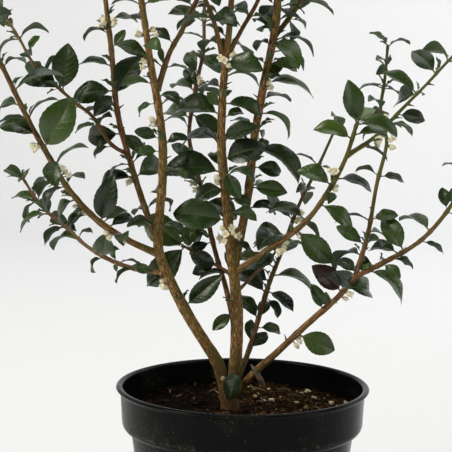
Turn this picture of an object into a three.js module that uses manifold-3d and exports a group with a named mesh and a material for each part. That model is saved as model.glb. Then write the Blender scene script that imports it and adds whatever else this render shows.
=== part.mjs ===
// A burkwood osmanthus, a small-leaved evergreen flowering shrub, in its black plastic nursery pot.
// Millimetres, +Z up, origin at the centre of the pot's underside, -Y towards the viewer.
import * as THREE from "three";
import { mergeVertices } from "three/addons/utils/BufferGeometryUtils.js";
import Module from "manifold-3d";

const wasm = await Module();
wasm.setup();

const GAP = 0.3; // clearance between neighbouring pieces

// The pot: a 3-litre nursery pot.
const POT = {
  height: 152,
  lipRadius: 95,
  lipThickness: 3.2,
  bandTopRadius: 91.5,
  bandBottomRadius: 90.3,
  bandBottom: 125,
  bandCorner: 7,
  wallTopRadius: 83.5,
  baseRadius: 68,
  wall: 1.6,
  floor: 2.4,
  footChamfer: 2,
  segments: 32,
};
const DRAIN = { count: 8, radius: 5, ring: 50, sides: 6 };
const DRAIN_GROOVE = { outer: 75, width: 5, depth: 1 };

// The soil fills the pot to about 20 mm below its rim.
const SOIL = { top: 133, rings: 3, bump: 1.3 };
const CHIPS = { count: 14, length: 9, width: 4.5, height: 2.8, innerRadius: 18, outerRadius: 76, seed: 7 };
const PLANT_HOLE = { radius: 8.2, depth: 28 };

// Leaves, flowers and spurs. Angles are in degrees, but bend and fold in radians.
const LEAF = {
  widthShare: 0.56, // width over length
  thickness: 1.1, // at the midrib, which thins to the edge
  stalkLength: 2.6,
  stalkWidth: 1.6,
  openAngle: 62, // between the stem and the leaf's stalk
  openJitter: 12,
  tipAngle: 30, // the same for the last pair, at the stem's tip
  bend: 1.45, // that the midrib turns through from base to tip
  flatter: 0.5, // share of the bend that a leaf lacks where it shows its face to the viewer
  fold: 0.3, // that each half is folded up
  wave: 0.5,
  roll: 34, // at most, to either side
  towardsLight: 0.7, // share by which the upper face turns to the light
  frontRoll: 10, // at most, where a leaf shows its face to the viewer
};
const WIDEST = 0.92; // power of the length's share: the closer to 1, the nearer the middle a leaf is widest
const EDGE_STATIONS = [0.3, 0.7];
const RIB_STATIONS = [0.5];
const FLOWER = { reach: 2, tube: 1.7, mouth: 2.9, length: 4.6, budRadius: 1.9, openShare: 0.6 };
const SPUR = { length: 5, radius: 0.9 };

// Light comes from above and from all round: outward from an axis behind the plant's middle.
const LIGHT = { axisX: -10, axisY: 60, outward: 0.5, up: 0.85 };

// Stems are sampled at this many steps between two route points.
const SPAN_STEPS = 6;
const MOST_SAG = 0.55; // of a stem's faces from its curved axis, between two rings of vertices
const LONGEST_SPAN = 60;
const SIDES_FROM = [[2.8, 6], [1.6, 5], [0, 4]]; // a stem's sides, by its radius at the foot
const TANGENT_REACH = 2;

// Each shoot is one piece. Its first stem is the leader, and the others fork from it.
// route: a few points on the stem's axis, from its foot to its tip
// radii: at those two ends
// pairs: leaves set by hand, each [distance along the stem, bearing, length, opposite length], then, where
//   it isn't the usual, the angle between stem and stalk, and how far the face turns to the viewer, up to 1
// bare, gap, leaf, turn: from bare on, pairs follow every gap, about leaf long, the first at bearing turn
// tip: the lengths of the last pair, at the stem's end
// blooms: clusters of flowers, each [distance, bearing, number]
// spurs: dead thorn-like spurs, each [distance, bearing]
// A bearing is in degrees round the stem: 0 to the right, 90 towards the viewer, 180 to the left.
const SHOOTS = [
  {
    name: "crown",
    stems: [
      {
        route: [[-9, 0, 106], [-9, 0, 130], [-11, 0, 146], [-12, 0, 153]],
        radii: [6.4, 7.3],
      },
    ],
  },
  {
    name: "centre_shoot",
    stems: [
      {
        route: [[-11, 0, 140], [-6, 0, 164], [-5, 0, 209], [-10, 0, 253], [-15, 0, 299], [-18, 0, 333],
          [-17, 0, 376], [-13, 0, 420], [-11, 2, 466], [-14, 4, 505], [-12, 5, 536]],
        radii: [5.5, 1.2],
        pairs: [[27, 55, 23, 0, 125, 0.8], [70, 160, 18, 0, 115, 0.9], [96, 185, 21, 0],
          [104, 255, 22, 0], [118, 230, 28, 0], [136, 160, 38, 0, 75, 0.6], [142, 0, 22, 0, 80, 0.2],
          [154, 20, 15, 0, 100, 0.5], [159, 300, 0, 25], [168, 10, 23, 0], [172, 180, 41, 0, 70, 0.3],
          [173, 210, 23, 0, 35, 0.5], [176, 20, 21, 0, 150, 0.9], [181, 20, 31, 0, 70, 0.6],
          [190, 270, 25, 0], [194, 180, 35, 0, 50], [196, 20, 29, 0, 65, 0.6], [211, 0, 15, 0, 65, 0.4],
          [214, 180, 36, 0, 55], [218, 160, 13, 0, 45, 0.7], [223, 0, 28, 0, 75, 0.3], [234, 220, 25, 0],
          [242, 0, 26, 0, 70], [254, 20, 28, 0, 100, 0.6], [260, 180, 13, 0, 45, 0.3],
          [266, 0, 31, 0, 80, 0.3], [270, 200, 22, 0], [285, 60, 18, 20]],
        bare: 312, gap: 41, leaf: 28, turn: 0, tip: [24, 21],
        blooms: [[124, 95, 8], [121, 200, 4], [165, 190, 4], [253, 70, 6]],
        spurs: [[150, 190], [236, 0]],
      },
      {
        route: [[-18, 0, 397], [-26, -6, 426], [-35, -12, 445], [-44, -18, 470]],
        radii: [2, 1.2],
        bare: 28, gap: 29, leaf: 26, turn: 180, tip: [21, 19],
        blooms: [[30, 200, 3]],
      },
      {
        route: [[-14, 0, 397], [-4, 7, 416], [8, 15, 438], [17, 22, 466]],
        radii: [1.9, 1.2],
        bare: 34, gap: 26, leaf: 25, turn: 0, tip: [21, 19],
      },
      {
        route: [[-11, 0, 236], [-28, 7, 245], [-45, 12, 254]],
        radii: [1.4, 0.9],
        pairs: [[9, 160, 21, 0, 15, 0.7], [35, 20, 19, 0, 55, 0.6], [40, 20, 41, 0, 10, 0.8],
          [40, 160, 41, 0, 70, 0.9]],
      },
      {
        route: [[-5, 0, 222], [8, 15, 233], [17, 25, 240], [28, 36, 252]],
        radii: [1.4, 0.9],
        pairs: [[34, 160, 25, 0, 85, 0.5]],
        tip: [21, 18],
      },
    ],
  },
  {
    name: "left_shoot",
    stems: [
      {
        route: [[-11, 0, 143], [-19, -1, 168], [-30, -2, 186], [-41, -3, 204], [-55, -3, 231],
          [-64, -4, 257], [-61, -6, 302], [-61, -8, 333], [-64, -10, 359], [-70, -12, 392],
          [-74, -14, 419], [-79, -16, 450], [-86, -18, 485], [-90, -20, 512]],
        radii: [5, 1.6],
        pairs: [[28, 250, 21, 0, 130], [76, 20, 35, 0, 70, 0.9], [101, 190, 17, 0], [138, 0, 24, 21],
          [163, 30, 0, 16], [166, 0, 14, 0, 125, 0.4], [181, 0, 21, 0], [196, 160, 16, 0, 75, 0.7],
          [200, 350, 17, 0], [205, 160, 16, 0, 55, 0.7], [217, 0, 20, 0], [229, 345, 22, 0],
          [232, 180, 16, 0, 75, 0.2], [236, 0, 20, 0, 85], [246, 185, 21, 0], [262, 160, 24, 0, 45, 0.5],
          [273, 20, 20, 0], [290, 250, 21, 0], [303, 0, 24, 20]],
        bare: 324, gap: 40, leaf: 28, turn: 90, tip: [22, 20],
        blooms: [[94, 190, 3], [217, 180, 3], [259, 200, 3], [281, 0, 3], [283, 180, 3]],
        spurs: [[120, 200], [190, 10]],
      },
      {
        route: [[-65, -9, 371], [-57, -4, 397], [-48, 1, 414], [-38, 5, 435], [-25, 10, 459],
          [-16, 14, 480]],
        radii: [2.2, 1.4],
        pairs: [[17, 0, 17, 19], [36, 160, 16, 0, 75, 0.6], [46, 0, 18, 0], [57, 90, 17, 18],
          [67, 185, 25, 19]],
        bare: 84, gap: 26, leaf: 23, turn: 90, tip: [20, 19],
      },
      {
        route: [[-60, -4, 236], [-85, 8, 238], [-104, 21, 243], [-121, 33, 251], [-137, 45, 263],
          [-158, 58, 278], [-173, 70, 297]],
        radii: [2, 1.1],
        pairs: [[6, 160, 16, 0, 60, 0.8], [24, 180, 17, 0], [40, 0, 18, 0, 105, 0.2], [54, 0, 15, 17],
          [62, 160, 20, 0, 130, 0.9], [80, 180, 31, 0, 10, 0.2], [82, 180, 0, 14],
          [106, 330, 13, 0, 155, 0.6], [116, 180, 27, 0, 45, 0.3], [128, 180, 26, 0, 10, 0.2],
          [136, 20, 16, 0, 40, 0.8]],
        bare: 98, gap: 18, leaf: 22, turn: 30, tip: [24, 21],
      },
    ],
  },
  {
    name: "left_outer_shoot",
    stems: [
      {
        route: [[-63, -4, 250], [-86, -9, 261], [-109, -14, 277], [-130, -18, 301], [-144, -23, 326],
          [-156, -28, 349], [-170, -32, 379], [-183, -37, 407], [-198, -42, 433]],
        radii: [2.6, 1.5],
        pairs: [[28, 0, 21, 0], [44, 20, 29, 0, 130, 0.5], [44, 160, 25, 0, 115, 0.95],
          [49, 330, 19, 0, 100, 0.4], [50, 20, 36, 0, 55, 0.95], [60, 180, 19, 0],
          [75, 180, 27, 0, 80, 0.4], [87, 330, 20, 22], [103, 0, 29, 0], [110, 20, 26, 0, 90, 0.5],
          [119, 20, 41, 0, 65, 0.9], [129, 180, 28, 0, 25, 0.4], [143, 330, 26, 22], [154, 200, 24, 0],
          [166, 0, 35, 0], [184, 20, 20, 22]],
        bare: 206, gap: 31, leaf: 28, turn: 90, tip: [22, 21],
        blooms: [[36, 185, 6], [66, 190, 2], [98, 185, 3], [96, 10, 3], [122, 185, 6]],
        spurs: [[104, 200], [79, 200]],
      },
    ],
  },
  {
    name: "left_inner_shoot",
    stems: [
      {
        route: [[-64, -4, 258], [-73, 1, 281], [-83, 5, 310], [-95, 10, 352], [-100, 14, 397],
          [-105, 19, 436], [-110, 23, 480], [-113, 28, 513]],
        radii: [2.4, 1.7],
        pairs: [[14, 0, 22, 0, 120, 0.3], [27, 180, 19, 21], [52, 20, 31, 0, 75, 0.8],
          [52, 180, 29, 0, 60, 0.4], [62, 0, 21, 19], [73, 310, 24, 0], [86, 160, 28, 0, 70, 0.8],
          [88, 20, 18, 0, 150, 0.8], [102, 180, 24, 0], [114, 20, 32, 0, 45, 0.8],
          [116, 160, 21, 0, 115, 0.8], [118, 160, 29, 0, 85, 0.6], [128, 0, 20, 0],
          [136, 180, 24, 0, 55, 0.2], [148, 20, 14, 0, 30, 0.8], [160, 190, 21, 0], [170, 0, 21, 0, 65]],
        bare: 196, gap: 40, leaf: 27, turn: 0, tip: [21, 20],
        blooms: [[46, 190, 2], [167, 180, 3], [165, 10, 3]],
        spurs: [[104, 0], [133, 0]],
      },
      {
        route: [[-87, 6, 323], [-100, 5, 331], [-113, 8, 350], [-126, 11, 360], [-138, 14, 370],
          [-158, 24, 387], [-171, 34, 407], [-181, 42, 421]],
        radii: [1.5, 1],
        pairs: [[13, 180, 17, 0], [31, 0, 19, 17], [52, 180, 21, 18], [69, 20, 33, 0, 60, 0.95],
          [72, 160, 31, 0, 25, 0.5], [112, 20, 14, 0, 60, 0.6], [133, 160, 17, 0, 10, 0.6]],
        bare: 86, gap: 20, leaf: 23, turn: 0, tip: [24, 21],
      },
    ],
  },
  {
    name: "centre_right_shoot",
    stems: [
      {
        route: [[-8, 0, 238], [2, 5, 293], [6, 8, 335], [13, 10, 377], [20, 13, 413], [22, 15, 438],
          [20, 18, 474], [26, 20, 508]],
        radii: [3.4, 2.6],
        pairs: [[46, 180, 21, 24], [63, 20, 24, 0, 90, 0.6], [65, 0, 41, 0, 90, 0.2],
          [78, 20, 21, 0, 85, 0.6], [92, 0, 41, 0, 80, 0.25], [93, 0, 0, 18], [102, 20, 15, 0, 125, 0.6],
          [106, 200, 20, 0], [108, 20, 20, 0, 110, 0.5], [118, 0, 31, 0, 80], [128, 330, 24, 0],
          [140, 20, 18, 0, 15, 0.7], [141, 0, 37, 0, 70], [154, 10, 21, 18], [164, 330, 29, 0],
          [169, 20, 0, 19], [172, 0, 35, 0, 65], [172, 0, 36, 0, 80], [177, 180, 22, 0, 45],
          [180, 160, 24, 0, 35, 0.5], [187, 0, 24, 0], [197, 185, 25, 19]],
        bare: 218, gap: 38, leaf: 26, turn: 90, tip: [21, 19],
        blooms: [[139, 0, 3]],
        spurs: [[128, 185]],
      },
      {
        route: [[20, 13, 411], [29, 19, 422], [40, 27, 438], [51, 34, 465]],
        radii: [2, 1.4],
        pairs: [[17, 0, 19, 17], [35, 0, 26, 0]],
        bare: 46, gap: 24, leaf: 25, turn: 90, tip: [21, 20],
      },
    ],
  },
  {
    name: "right_shoot",
    stems: [
      {
        route: [[-8, 0, 236], [19, -6, 256], [44, -11, 276], [61, -15, 301], [72, -20, 324],
          [79, -24, 349]],
        radii: [2.7, 1.4],
        pairs: [[18, 180, 17, 0], [30, 270, 21, 19], [41, 185, 31, 0], [50, 160, 32, 0, 130, 0.5],
          [58, 20, 34, 0, 85, 0.85], [68, 180, 31, 0, 100, 0.3], [84, 20, 27, 0, 85, 0.5],
          [92, 90, 19, 0], [100, 160, 27, 0, 80, 0.5], [106, 0, 26, 0], [138, 160, 28, 0, 80, 0.5],
          [141, 0, 24, 0, 60, 0.2], [149, 0, 29, 0, 60, 0.3], [149, 160, 31, 0, 35, 0.9]],
        tip: [29, 28],
        blooms: [[38, 5, 8], [55, 10, 3], [96, 0, 4], [110, 180, 4]],
      },
      {
        route: [[73, -20, 326], [94, -6, 339], [114, 7, 358], [134, 19, 377], [154, 32, 397],
          [172, 44, 413]],
        radii: [1.7, 0.9],
        pairs: [[15, 0, 19, 0], [44, 0, 16, 0, 45, 0.2], [54, 20, 18, 0, 65, 0.6],
          [78, 160, 28, 0, 95, 0.5], [78, 210, 32, 0, 85, 0.6], [101, 180, 26, 0, 70, 0.7]],
        bare: 116, gap: 20, leaf: 26, turn: 0, tip: [24, 21],
        blooms: [[28, 0, 4], [43, 180, 3]],
        spurs: [[66, 0], [90, 0]],
      },
    ],
  },
  {
    name: "low_right_shoot",
    stems: [
      {
        route: [[-9, 0, 138], [5, -5, 158], [26, -8, 179], [47, -10, 200], [69, -13, 221],
          [81, -16, 236], [101, -10, 246], [128, -4, 261], [147, 2, 280], [161, 8, 301],
          [172, 14, 321]],
        radii: [3.1, 1.2],
        pairs: [[74, 20, 26, 0, 70, 0.8], [100, 160, 20, 0, 70, 0.7], [105, 270, 20, 0],
          [120, 160, 28, 0, 65, 0.8], [122, 20, 14, 0, 35, 0.5], [124, 20, 33, 0, 75, 0.6],
          [130, 120, 28, 0, 70, 0.6], [138, 160, 18, 0, 105, 0.5], [146, 0, 36, 0, 35, 0.3],
          [154, 160, 21, 0, 120, 0.8], [158, 20, 16, 0, 65, 0.6], [166, 0, 16, 0, 35],
          [173, 180, 22, 0, 110, 0.4], [177, 160, 27, 0, 80, 0.8], [192, 0, 17, 0, 55, 0.4],
          [202, 210, 32, 0, 90, 0.4], [221, 180, 0, 16], [222, 160, 15, 0, 55, 0.9]],
        bare: 234, gap: 20, leaf: 21, turn: 90, tip: [20, 18],
        blooms: [[69, 5, 3], [118, 5, 3]],
        spurs: [[64, 180]],
      },
      {
        route: [[81, -15, 236], [91, -2, 266], [98, 11, 302], [106, 23, 333], [102, 35, 355],
          [106, 48, 379], [109, 60, 405]],
        radii: [1.8, 1.1],
        pairs: [[18, 180, 32, 0, 65, 0.3], [26, 160, 22, 0, 65, 0.6], [27, 175, 0, 22], [37, 0, 27, 0],
          [45, 10, 0, 27], [46, 20, 17, 0, 80, 0.5], [80, 0, 18, 17], [119, 0, 22, 20]],
        bare: 134, gap: 19, leaf: 19, turn: 90, tip: [18, 16],
        blooms: [[107, 0, 4]],
      },
    ],
  },
  {
    name: "back_left_shoot",
    stems: [
      {
        route: [[-6, 1, 192], [-13, 8, 222], [-23, 18, 254], [-36, 33, 308], [-43, 45, 336],
          [-38, 57, 374], [-33, 69, 400], [-33, 80, 427], [-32, 92, 470]],
        radii: [2.1, 1.2],
        pairs: [[53, 160, 18, 0, 105, 0.6], [70, 160, 18, 0, 110, 0.6], [90, 160, 24, 0, 130, 0.6],
          [102, 20, 27, 0, 120, 0.5], [110, 180, 18, 0, 40, 0.3], [133, 160, 21, 0, 35, 0.5],
          [168, 180, 26, 0, 70, 0.4], [172, 20, 26, 0, 105, 0.5], [192, 160, 18, 0, 40, 0.5],
          [204, 160, 21, 0, 55, 0.6], [216, 20, 18, 0, 85, 0.5], [216, 160, 22, 0, 45, 0.7]],
        bare: 190, gap: 28, leaf: 25, turn: 0, tip: [21, 20],
        blooms: [[115, 200, 4], [195, 20, 4]],
      },
    ],
  },
  {
    name: "back_right_shoot",
    stems: [
      {
        route: [[-6, 0, 150], [5, 18, 175], [19, 36, 220], [29, 46, 245], [42, 56, 280], [58, 66, 312],
          [70, 74, 338]],
        radii: [2.3, 1.1],
        pairs: [[32, 20, 17, 0, 25, 0.8], [36, 160, 18, 0, 25, 0.8], [50, 0, 17, 0, 65, 0.3],
          [56, 20, 17, 0, 10, 0.6], [56, 160, 22, 0, 40, 0.6], [75, 0, 17, 0, 110, 0.4],
          [78, 160, 26, 0, 75, 0.6], [80, 0, 24, 0, 90, 0.3], [88, 160, 34, 0, 75, 0.6],
          [93, 0, 35, 0, 60, 0.2], [99, 160, 22, 0, 80, 0.5]],
        bare: 118, gap: 24, leaf: 23, turn: 90, tip: [21, 19],
        blooms: [[140, 20, 4]],
      },
    ],
  },
];
const PLANT_SEED = 2024;

// Names of colours and finishes, one for each sub-part.
const PLASTIC = { color: 0x17191a, roughness: 0.55, metalness: 0 };
const EARTH = { color: 0x2b1e14, roughness: 0.95, metalness: 0 };
const BARK = { color: 0x5e4026, roughness: 0.85, metalness: 0 };
const FOLIAGE = { color: 0x24402a, roughness: 0.4, metalness: 0 };

// Numbers drawn in a fixed order from a seed, between 0 and 1.
function randomSource(seed) {
  let state = seed;
  return () => {
    state = (state * 1664525 + 1013904223) % 4294967296;
    return state / 4294967296;
  };
}

const spread = (random, share) => 1 + share * (2 * random() - 1);
const radians = THREE.MathUtils.degToRad;

// Solids and booleans.
function solidFrom(geometry) {
  const bare = geometry.clone();
  bare.deleteAttribute("normal");
  bare.deleteAttribute("uv");
  const merged = mergeVertices(bare, 1e-4);
  return new wasm.Manifold(
    new wasm.Mesh({
      numProp: 3,
      vertProperties: merged.attributes.position.array,
      triVerts: new Uint32Array(merged.index.array),
    }),
  );
}

function solidFromFaces(vertices, faces) {
  const geometry = new THREE.BufferGeometry();
  const numbers = vertices.flatMap((vertex) => vertex.toArray());
  geometry.setAttribute("position", new THREE.Float32BufferAttribute(numbers, 3));
  geometry.setIndex(faces.flat());
  return solidFrom(geometry);
}

function geometryOf(solid) {
  const mesh = solid.getMesh();
  const geometry = new THREE.BufferGeometry();
  geometry.setAttribute("position", new THREE.Float32BufferAttribute(mesh.vertProperties, 3));
  geometry.setIndex(new THREE.Uint32BufferAttribute(mesh.triVerts, 1));
  return geometry;
}

function meshNode(name, solid, finish) {
  const mesh = new THREE.Mesh(geometryOf(solid), new THREE.MeshStandardMaterial(finish));
  mesh.name = name;
  return mesh;
}

const union = (solids) => wasm.Manifold.union(solids);

function latheSolid(profile, segments) {
  const points = profile.map(([radius, height]) => new THREE.Vector2(radius, height));
  return solidFrom(new THREE.LatheGeometry(points, segments).rotateX(Math.PI / 2));
}

// The pot.
function potOutside() {
  const { height, lipRadius, lipThickness, bandTopRadius, bandBottomRadius, bandBottom } = POT;
  const { bandCorner, wallTopRadius, baseRadius, footChamfer } = POT;
  const corner = [0, 1, 2, 3].map((step) => {
    const angle = (step / 3) * (Math.PI / 2);
    const reach = bandBottomRadius - wallTopRadius;
    return [
      wallTopRadius + reach * Math.sin(angle),
      bandBottom - bandCorner * Math.cos(angle),
    ];
  });
  return [
    [0, 0],
    [baseRadius - footChamfer, 0],
    [baseRadius, footChamfer],
    ...corner,
    [bandTopRadius, height - lipThickness - 1],
    [lipRadius - 1.2, height - lipThickness],
    [lipRadius, height - lipThickness / 2],
    [lipRadius - 1, height - 0.4],
    [lipRadius - 2.4, height],
  ];
}

// The pot's inner face, from the lip down, with the band's step.
function potInside() {
  const { height, bandTopRadius, bandBottomRadius, bandBottom, bandCorner } = POT;
  const { wallTopRadius, baseRadius, wall, floor } = POT;
  return [
    [bandTopRadius - wall - 0.2, height - 0.8],
    [bandBottomRadius - wall, bandBottom + 1],
    [wallTopRadius - wall, bandBottom - bandCorner],
    [baseRadius - wall, floor + 1.2],
    [baseRadius - wall - 1.2, floor],
  ];
}

function boxAt(width, depth, height, x, y, z, angle) {
  return new THREE.BoxGeometry(width, depth, height).rotateZ(angle).translate(x, y, z);
}

function makePot() {
  const profile = [...potOutside(), ...potInside(), [0, POT.floor]];
  const cuts = [];
  for (let i = 0; i < DRAIN.count; i += 1) {
    const angle = ((i + 0.5) / DRAIN.count) * 2 * Math.PI;
    const hole = new THREE.CylinderGeometry(DRAIN.radius, DRAIN.radius, 4 * POT.floor, DRAIN.sides);
    hole.rotateX(Math.PI / 2).translate(DRAIN.ring * Math.cos(angle), DRAIN.ring * Math.sin(angle), 0);
    const middle = (DRAIN.ring + DRAIN_GROOVE.outer) / 2;
    const length = DRAIN_GROOVE.outer - DRAIN.ring;
    const groove = boxAt(
      length, DRAIN_GROOVE.width, 2 * DRAIN_GROOVE.depth,
      middle * Math.cos(angle), middle * Math.sin(angle), 0, angle,
    );
    cuts.push(solidFrom(hole), solidFrom(groove));
  }
  return latheSolid(profile, POT.segments).subtract(union(cuts));
}

// The soil, with a rough top and bark chips pressed into it.
function soilHeight(x, y) {
  const broad = Math.sin(0.085 * x + 0.6) * Math.cos(0.1 * y - 0.4);
  const fine = Math.sin(0.27 * x + 0.21 * y) * Math.cos(0.31 * y - 0.18 * x);
  return SOIL.bump * (broad + 0.7 * fine);
}

function soilProfile() {
  const inside = potInside();
  const [bandInside, wallTop, wallFoot, floorEdge] = inside.slice(1);
  const edge = bandInside[0] - GAP;
  const rings = [];
  for (let i = 0; i < SOIL.rings; i += 1) rings.push([edge * (1 - (i + 0.45) / SOIL.rings), SOIL.top]);
  return [
    [0, floorEdge[1] + GAP],
    [floorEdge[0] - GAP, floorEdge[1] + GAP],
    [wallFoot[0] - GAP, wallFoot[1] + GAP],
    [wallTop[0] - GAP, wallTop[1]],
    [edge, bandInside[1] + GAP],
    [edge, SOIL.top - 1],
    ...rings,
    [0, SOIL.top],
  ];
}

function makeChips() {
  const random = randomSource(CHIPS.seed);
  const chips = [];
  for (let i = 0; i < CHIPS.count; i += 1) {
    const angle = 2 * Math.PI * random();
    const away = CHIPS.innerRadius + (CHIPS.outerRadius - CHIPS.innerRadius) * Math.sqrt(random());
    const size = 0.6 + 0.7 * random();
    const chip = new THREE.BoxGeometry(CHIPS.length * size, CHIPS.width * size, CHIPS.height * size);
    chip.rotateY(0.5 * (random() - 0.5)).rotateX(0.5 * (random() - 0.5)).rotateZ(Math.PI * random());
    const x = away * Math.cos(angle);
    const y = away * Math.sin(angle);
    chips.push(solidFrom(chip.translate(x, y, SOIL.top + soilHeight(x, y) + 0.3)));
  }
  return union(chips);
}

function makeSoil() {
  const points = soilProfile().map(([radius, height]) => new THREE.Vector2(radius, height));
  const body = new THREE.LatheGeometry(points, POT.segments).rotateX(Math.PI / 2);
  const place = body.attributes.position;
  const edge = points[4].x;
  for (let i = 0; i < place.count; i += 1) {
    const [x, y, z] = [place.getX(i), place.getY(i), place.getZ(i)];
    if (z > SOIL.top - 0.5 && Math.hypot(x, y) < edge - 1) place.setZ(i, z + soilHeight(x, y));
  }
  const hole = new THREE.CylinderGeometry(PLANT_HOLE.radius, PLANT_HOLE.radius, 2 * PLANT_HOLE.depth, 16);
  const [x, y] = SHOOTS[0].stems[0].route[0];
  hole.rotateX(Math.PI / 2).translate(x, y, SOIL.top);
  return solidFrom(body).add(makeChips()).subtract(solidFrom(hole));
}

// A stem's axis as a dense line through its route, by Catmull-Rom, with the length up to each point.
function stemPath(route) {
  const knots = route.map((point) => new THREE.Vector3(...point));
  const last = knots.length - 1;
  knots.unshift(knots[0].clone().multiplyScalar(2).sub(knots[1]));
  knots.push(knots[last + 1].clone().multiplyScalar(2).sub(knots[last]));
  const points = [];
  for (let span = 0; span < last; span += 1) {
    const [before, from, to, after] = knots.slice(span, span + 4);
    for (let step = 0; step < SPAN_STEPS; step += 1) {
      points.push(catmullRom(before, from, to, after, step / SPAN_STEPS));
    }
  }
  points.push(knots[last + 1].clone());
  const reached = [0];
  for (let i = 1; i < points.length; i += 1) {
    reached.push(reached[i - 1] + points[i].distanceTo(points[i - 1]));
  }
  return { points, reached, length: reached[reached.length - 1] };
}

function catmullRom(before, from, to, after, t) {
  const leave = to.clone().sub(before).multiplyScalar(0.5);
  const arrive = after.clone().sub(from).multiplyScalar(0.5);
  const [t2, t3] = [t * t, t * t * t];
  return from.clone().multiplyScalar(2 * t3 - 3 * t2 + 1)
    .addScaledVector(leave, t3 - 2 * t2 + t)
    .addScaledVector(to, 3 * t2 - 2 * t3)
    .addScaledVector(arrive, t3 - t2);
}

function pointAlong(path, distance) {
  const place = Math.min(Math.max(distance, 0), path.length);
  let i = 1;
  while (i < path.points.length - 1 && path.reached[i] < place) i += 1;
  const share = (place - path.reached[i - 1]) / (path.reached[i] - path.reached[i - 1]);
  return path.points[i - 1].clone().lerp(path.points[i], share);
}

function tangentAlong(path, distance) {
  const ahead = pointAlong(path, distance + TANGENT_REACH);
  return ahead.sub(pointAlong(path, distance - TANGENT_REACH)).normalize();
}

// The directions across a stem: the first to the right, the second towards the viewer.
function across(tangent) {
  const right = new THREE.Vector3(1, 0, 0).addScaledVector(tangent, -tangent.x).normalize();
  const near = right.clone().cross(tangent);
  return { right, near };
}

function outwardAt(tangent, bearing) {
  const { right, near } = across(tangent);
  return right.multiplyScalar(Math.cos(bearing)).addScaledVector(near, Math.sin(bearing));
}

function radiusAlong(stem, path, distance) {
  const [from, to] = stem.radii;
  return from + (to - from) * (distance / path.length) ** 0.8;
}

// The numbers of the path's points that get a ring of vertices, few where the stem is straight.
function ringPlaces({ points, reached }) {
  const last = points.length - 1;
  const kept = [0];
  for (let to = 2; to <= last; to += 1) {
    const from = kept[kept.length - 1];
    const chord = new THREE.Line3(points[from], points[to]);
    const sag = points.slice(from + 1, to).map((point) => (
      point.distanceTo(chord.closestPointToPoint(point, true, new THREE.Vector3()))
    ));
    if (Math.max(...sag) > MOST_SAG || reached[to] - reached[from] > LONGEST_SPAN) kept.push(to - 1);
  }
  return [...kept, last];
}

// A tapering tube along a stem's axis, closed at both ends, thicker all round by extra.
function stemSolid(stem, path, extra = 0) {
  const [, sides] = SIDES_FROM.find(([radius]) => stem.radii[0] > radius);
  const places = ringPlaces(path);
  const steps = places.length - 1;
  const vertices = [];
  const faces = [];
  for (const place of places) {
    const distance = path.reached[place];
    const centre = path.points[place];
    const { right, near } = across(tangentAlong(path, distance));
    const radius = radiusAlong(stem, path, distance) + extra;
    for (let side = 0; side < sides; side += 1) {
      const angle = (side / sides) * 2 * Math.PI;
      vertices.push(
        centre.clone().addScaledVector(right, radius * Math.cos(angle))
          .addScaledVector(near, radius * Math.sin(angle)),
      );
    }
  }
  for (let step = 0; step < steps; step += 1) {
    for (let side = 0; side < sides; side += 1) {
      const next = (side + 1) % sides;
      const [a, b] = [step * sides + side, step * sides + next];
      faces.push([a, a + sides, b], [b, a + sides, b + sides]);
    }
  }
  for (let side = 1; side < sides - 1; side += 1) {
    const top = steps * sides;
    faces.push([0, side, side + 1], [top, top + side + 1, top + side]);
  }
  return solidFromFaces(vertices, faces);
}

// The part of a vector that is square to a direction, of length 1.
function squareTo(vector, direction) {
  return vector.clone().addScaledVector(direction, -vector.dot(direction)).normalize();
}

const TO_VIEWER = new THREE.Vector3(0, -1, 0);

function lightAt(point) {
  const outward = new THREE.Vector3(point.x - LIGHT.axisX, point.y - LIGHT.axisY, 0).normalize();
  return outward.multiplyScalar(LIGHT.outward).setZ(LIGHT.up);
}

// Where a leaf starts, which way it points, and its form, from its place on the stem.
function makeLeaf(stem, path, distance, aim, length, draw) {
  const root = pointAlong(path, distance);
  const tangent = tangentAlong(path, distance);
  const outward = outwardAt(tangent, aim.bearing);
  const along = tangent.clone().multiplyScalar(Math.cos(aim.open))
    .addScaledVector(outward, Math.sin(aim.open));
  const upper = squareTo(tangent, along).multiplyScalar(1 - LEAF.towardsLight)
    .addScaledVector(squareTo(lightAt(root), along), LEAF.towardsLight)
    .multiplyScalar(1 - aim.front)
    .addScaledVector(squareTo(TO_VIEWER, along), aim.front)
    .normalize()
    .applyAxisAngle(along, aim.roll);
  const stalk = radiusAlong(stem, path, distance) + LEAF.stalkLength;
  return {
    root,
    foot: root.clone().addScaledVector(along, stalk),
    along,
    upper,
    side: along.clone().cross(upper),
    length,
    ...draw,
  };
}

// The midrib's point and upward direction at a share of the blade's length.
function ribAt(leaf, share) {
  const turned = leaf.bend * share;
  const point = leaf.foot.clone()
    .addScaledVector(leaf.along, (leaf.length * Math.sin(turned)) / leaf.bend)
    .addScaledVector(leaf.upper, (-leaf.length * (1 - Math.cos(turned))) / leaf.bend);
  const up = leaf.upper.clone().multiplyScalar(Math.cos(turned))
    .addScaledVector(leaf.along, Math.sin(turned));
  return { point, up };
}

function halfWidth(leaf, share) {
  return 0.5 * leaf.width * Math.sin(Math.PI * share ** WIDEST) ** 0.85;
}

function edgeAt(leaf, share, hand) {
  const { point, up } = ribAt(leaf, share);
  const reach = halfWidth(leaf, share);
  const wave = LEAF.wave * Math.sin(2 * Math.PI * (2 * share + leaf.phase)) * hand;
  const lift = reach * Math.sin(leaf.fold) + wave;
  return point.addScaledVector(leaf.side, hand * reach * Math.cos(leaf.fold)).addScaledVector(up, lift);
}

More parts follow.
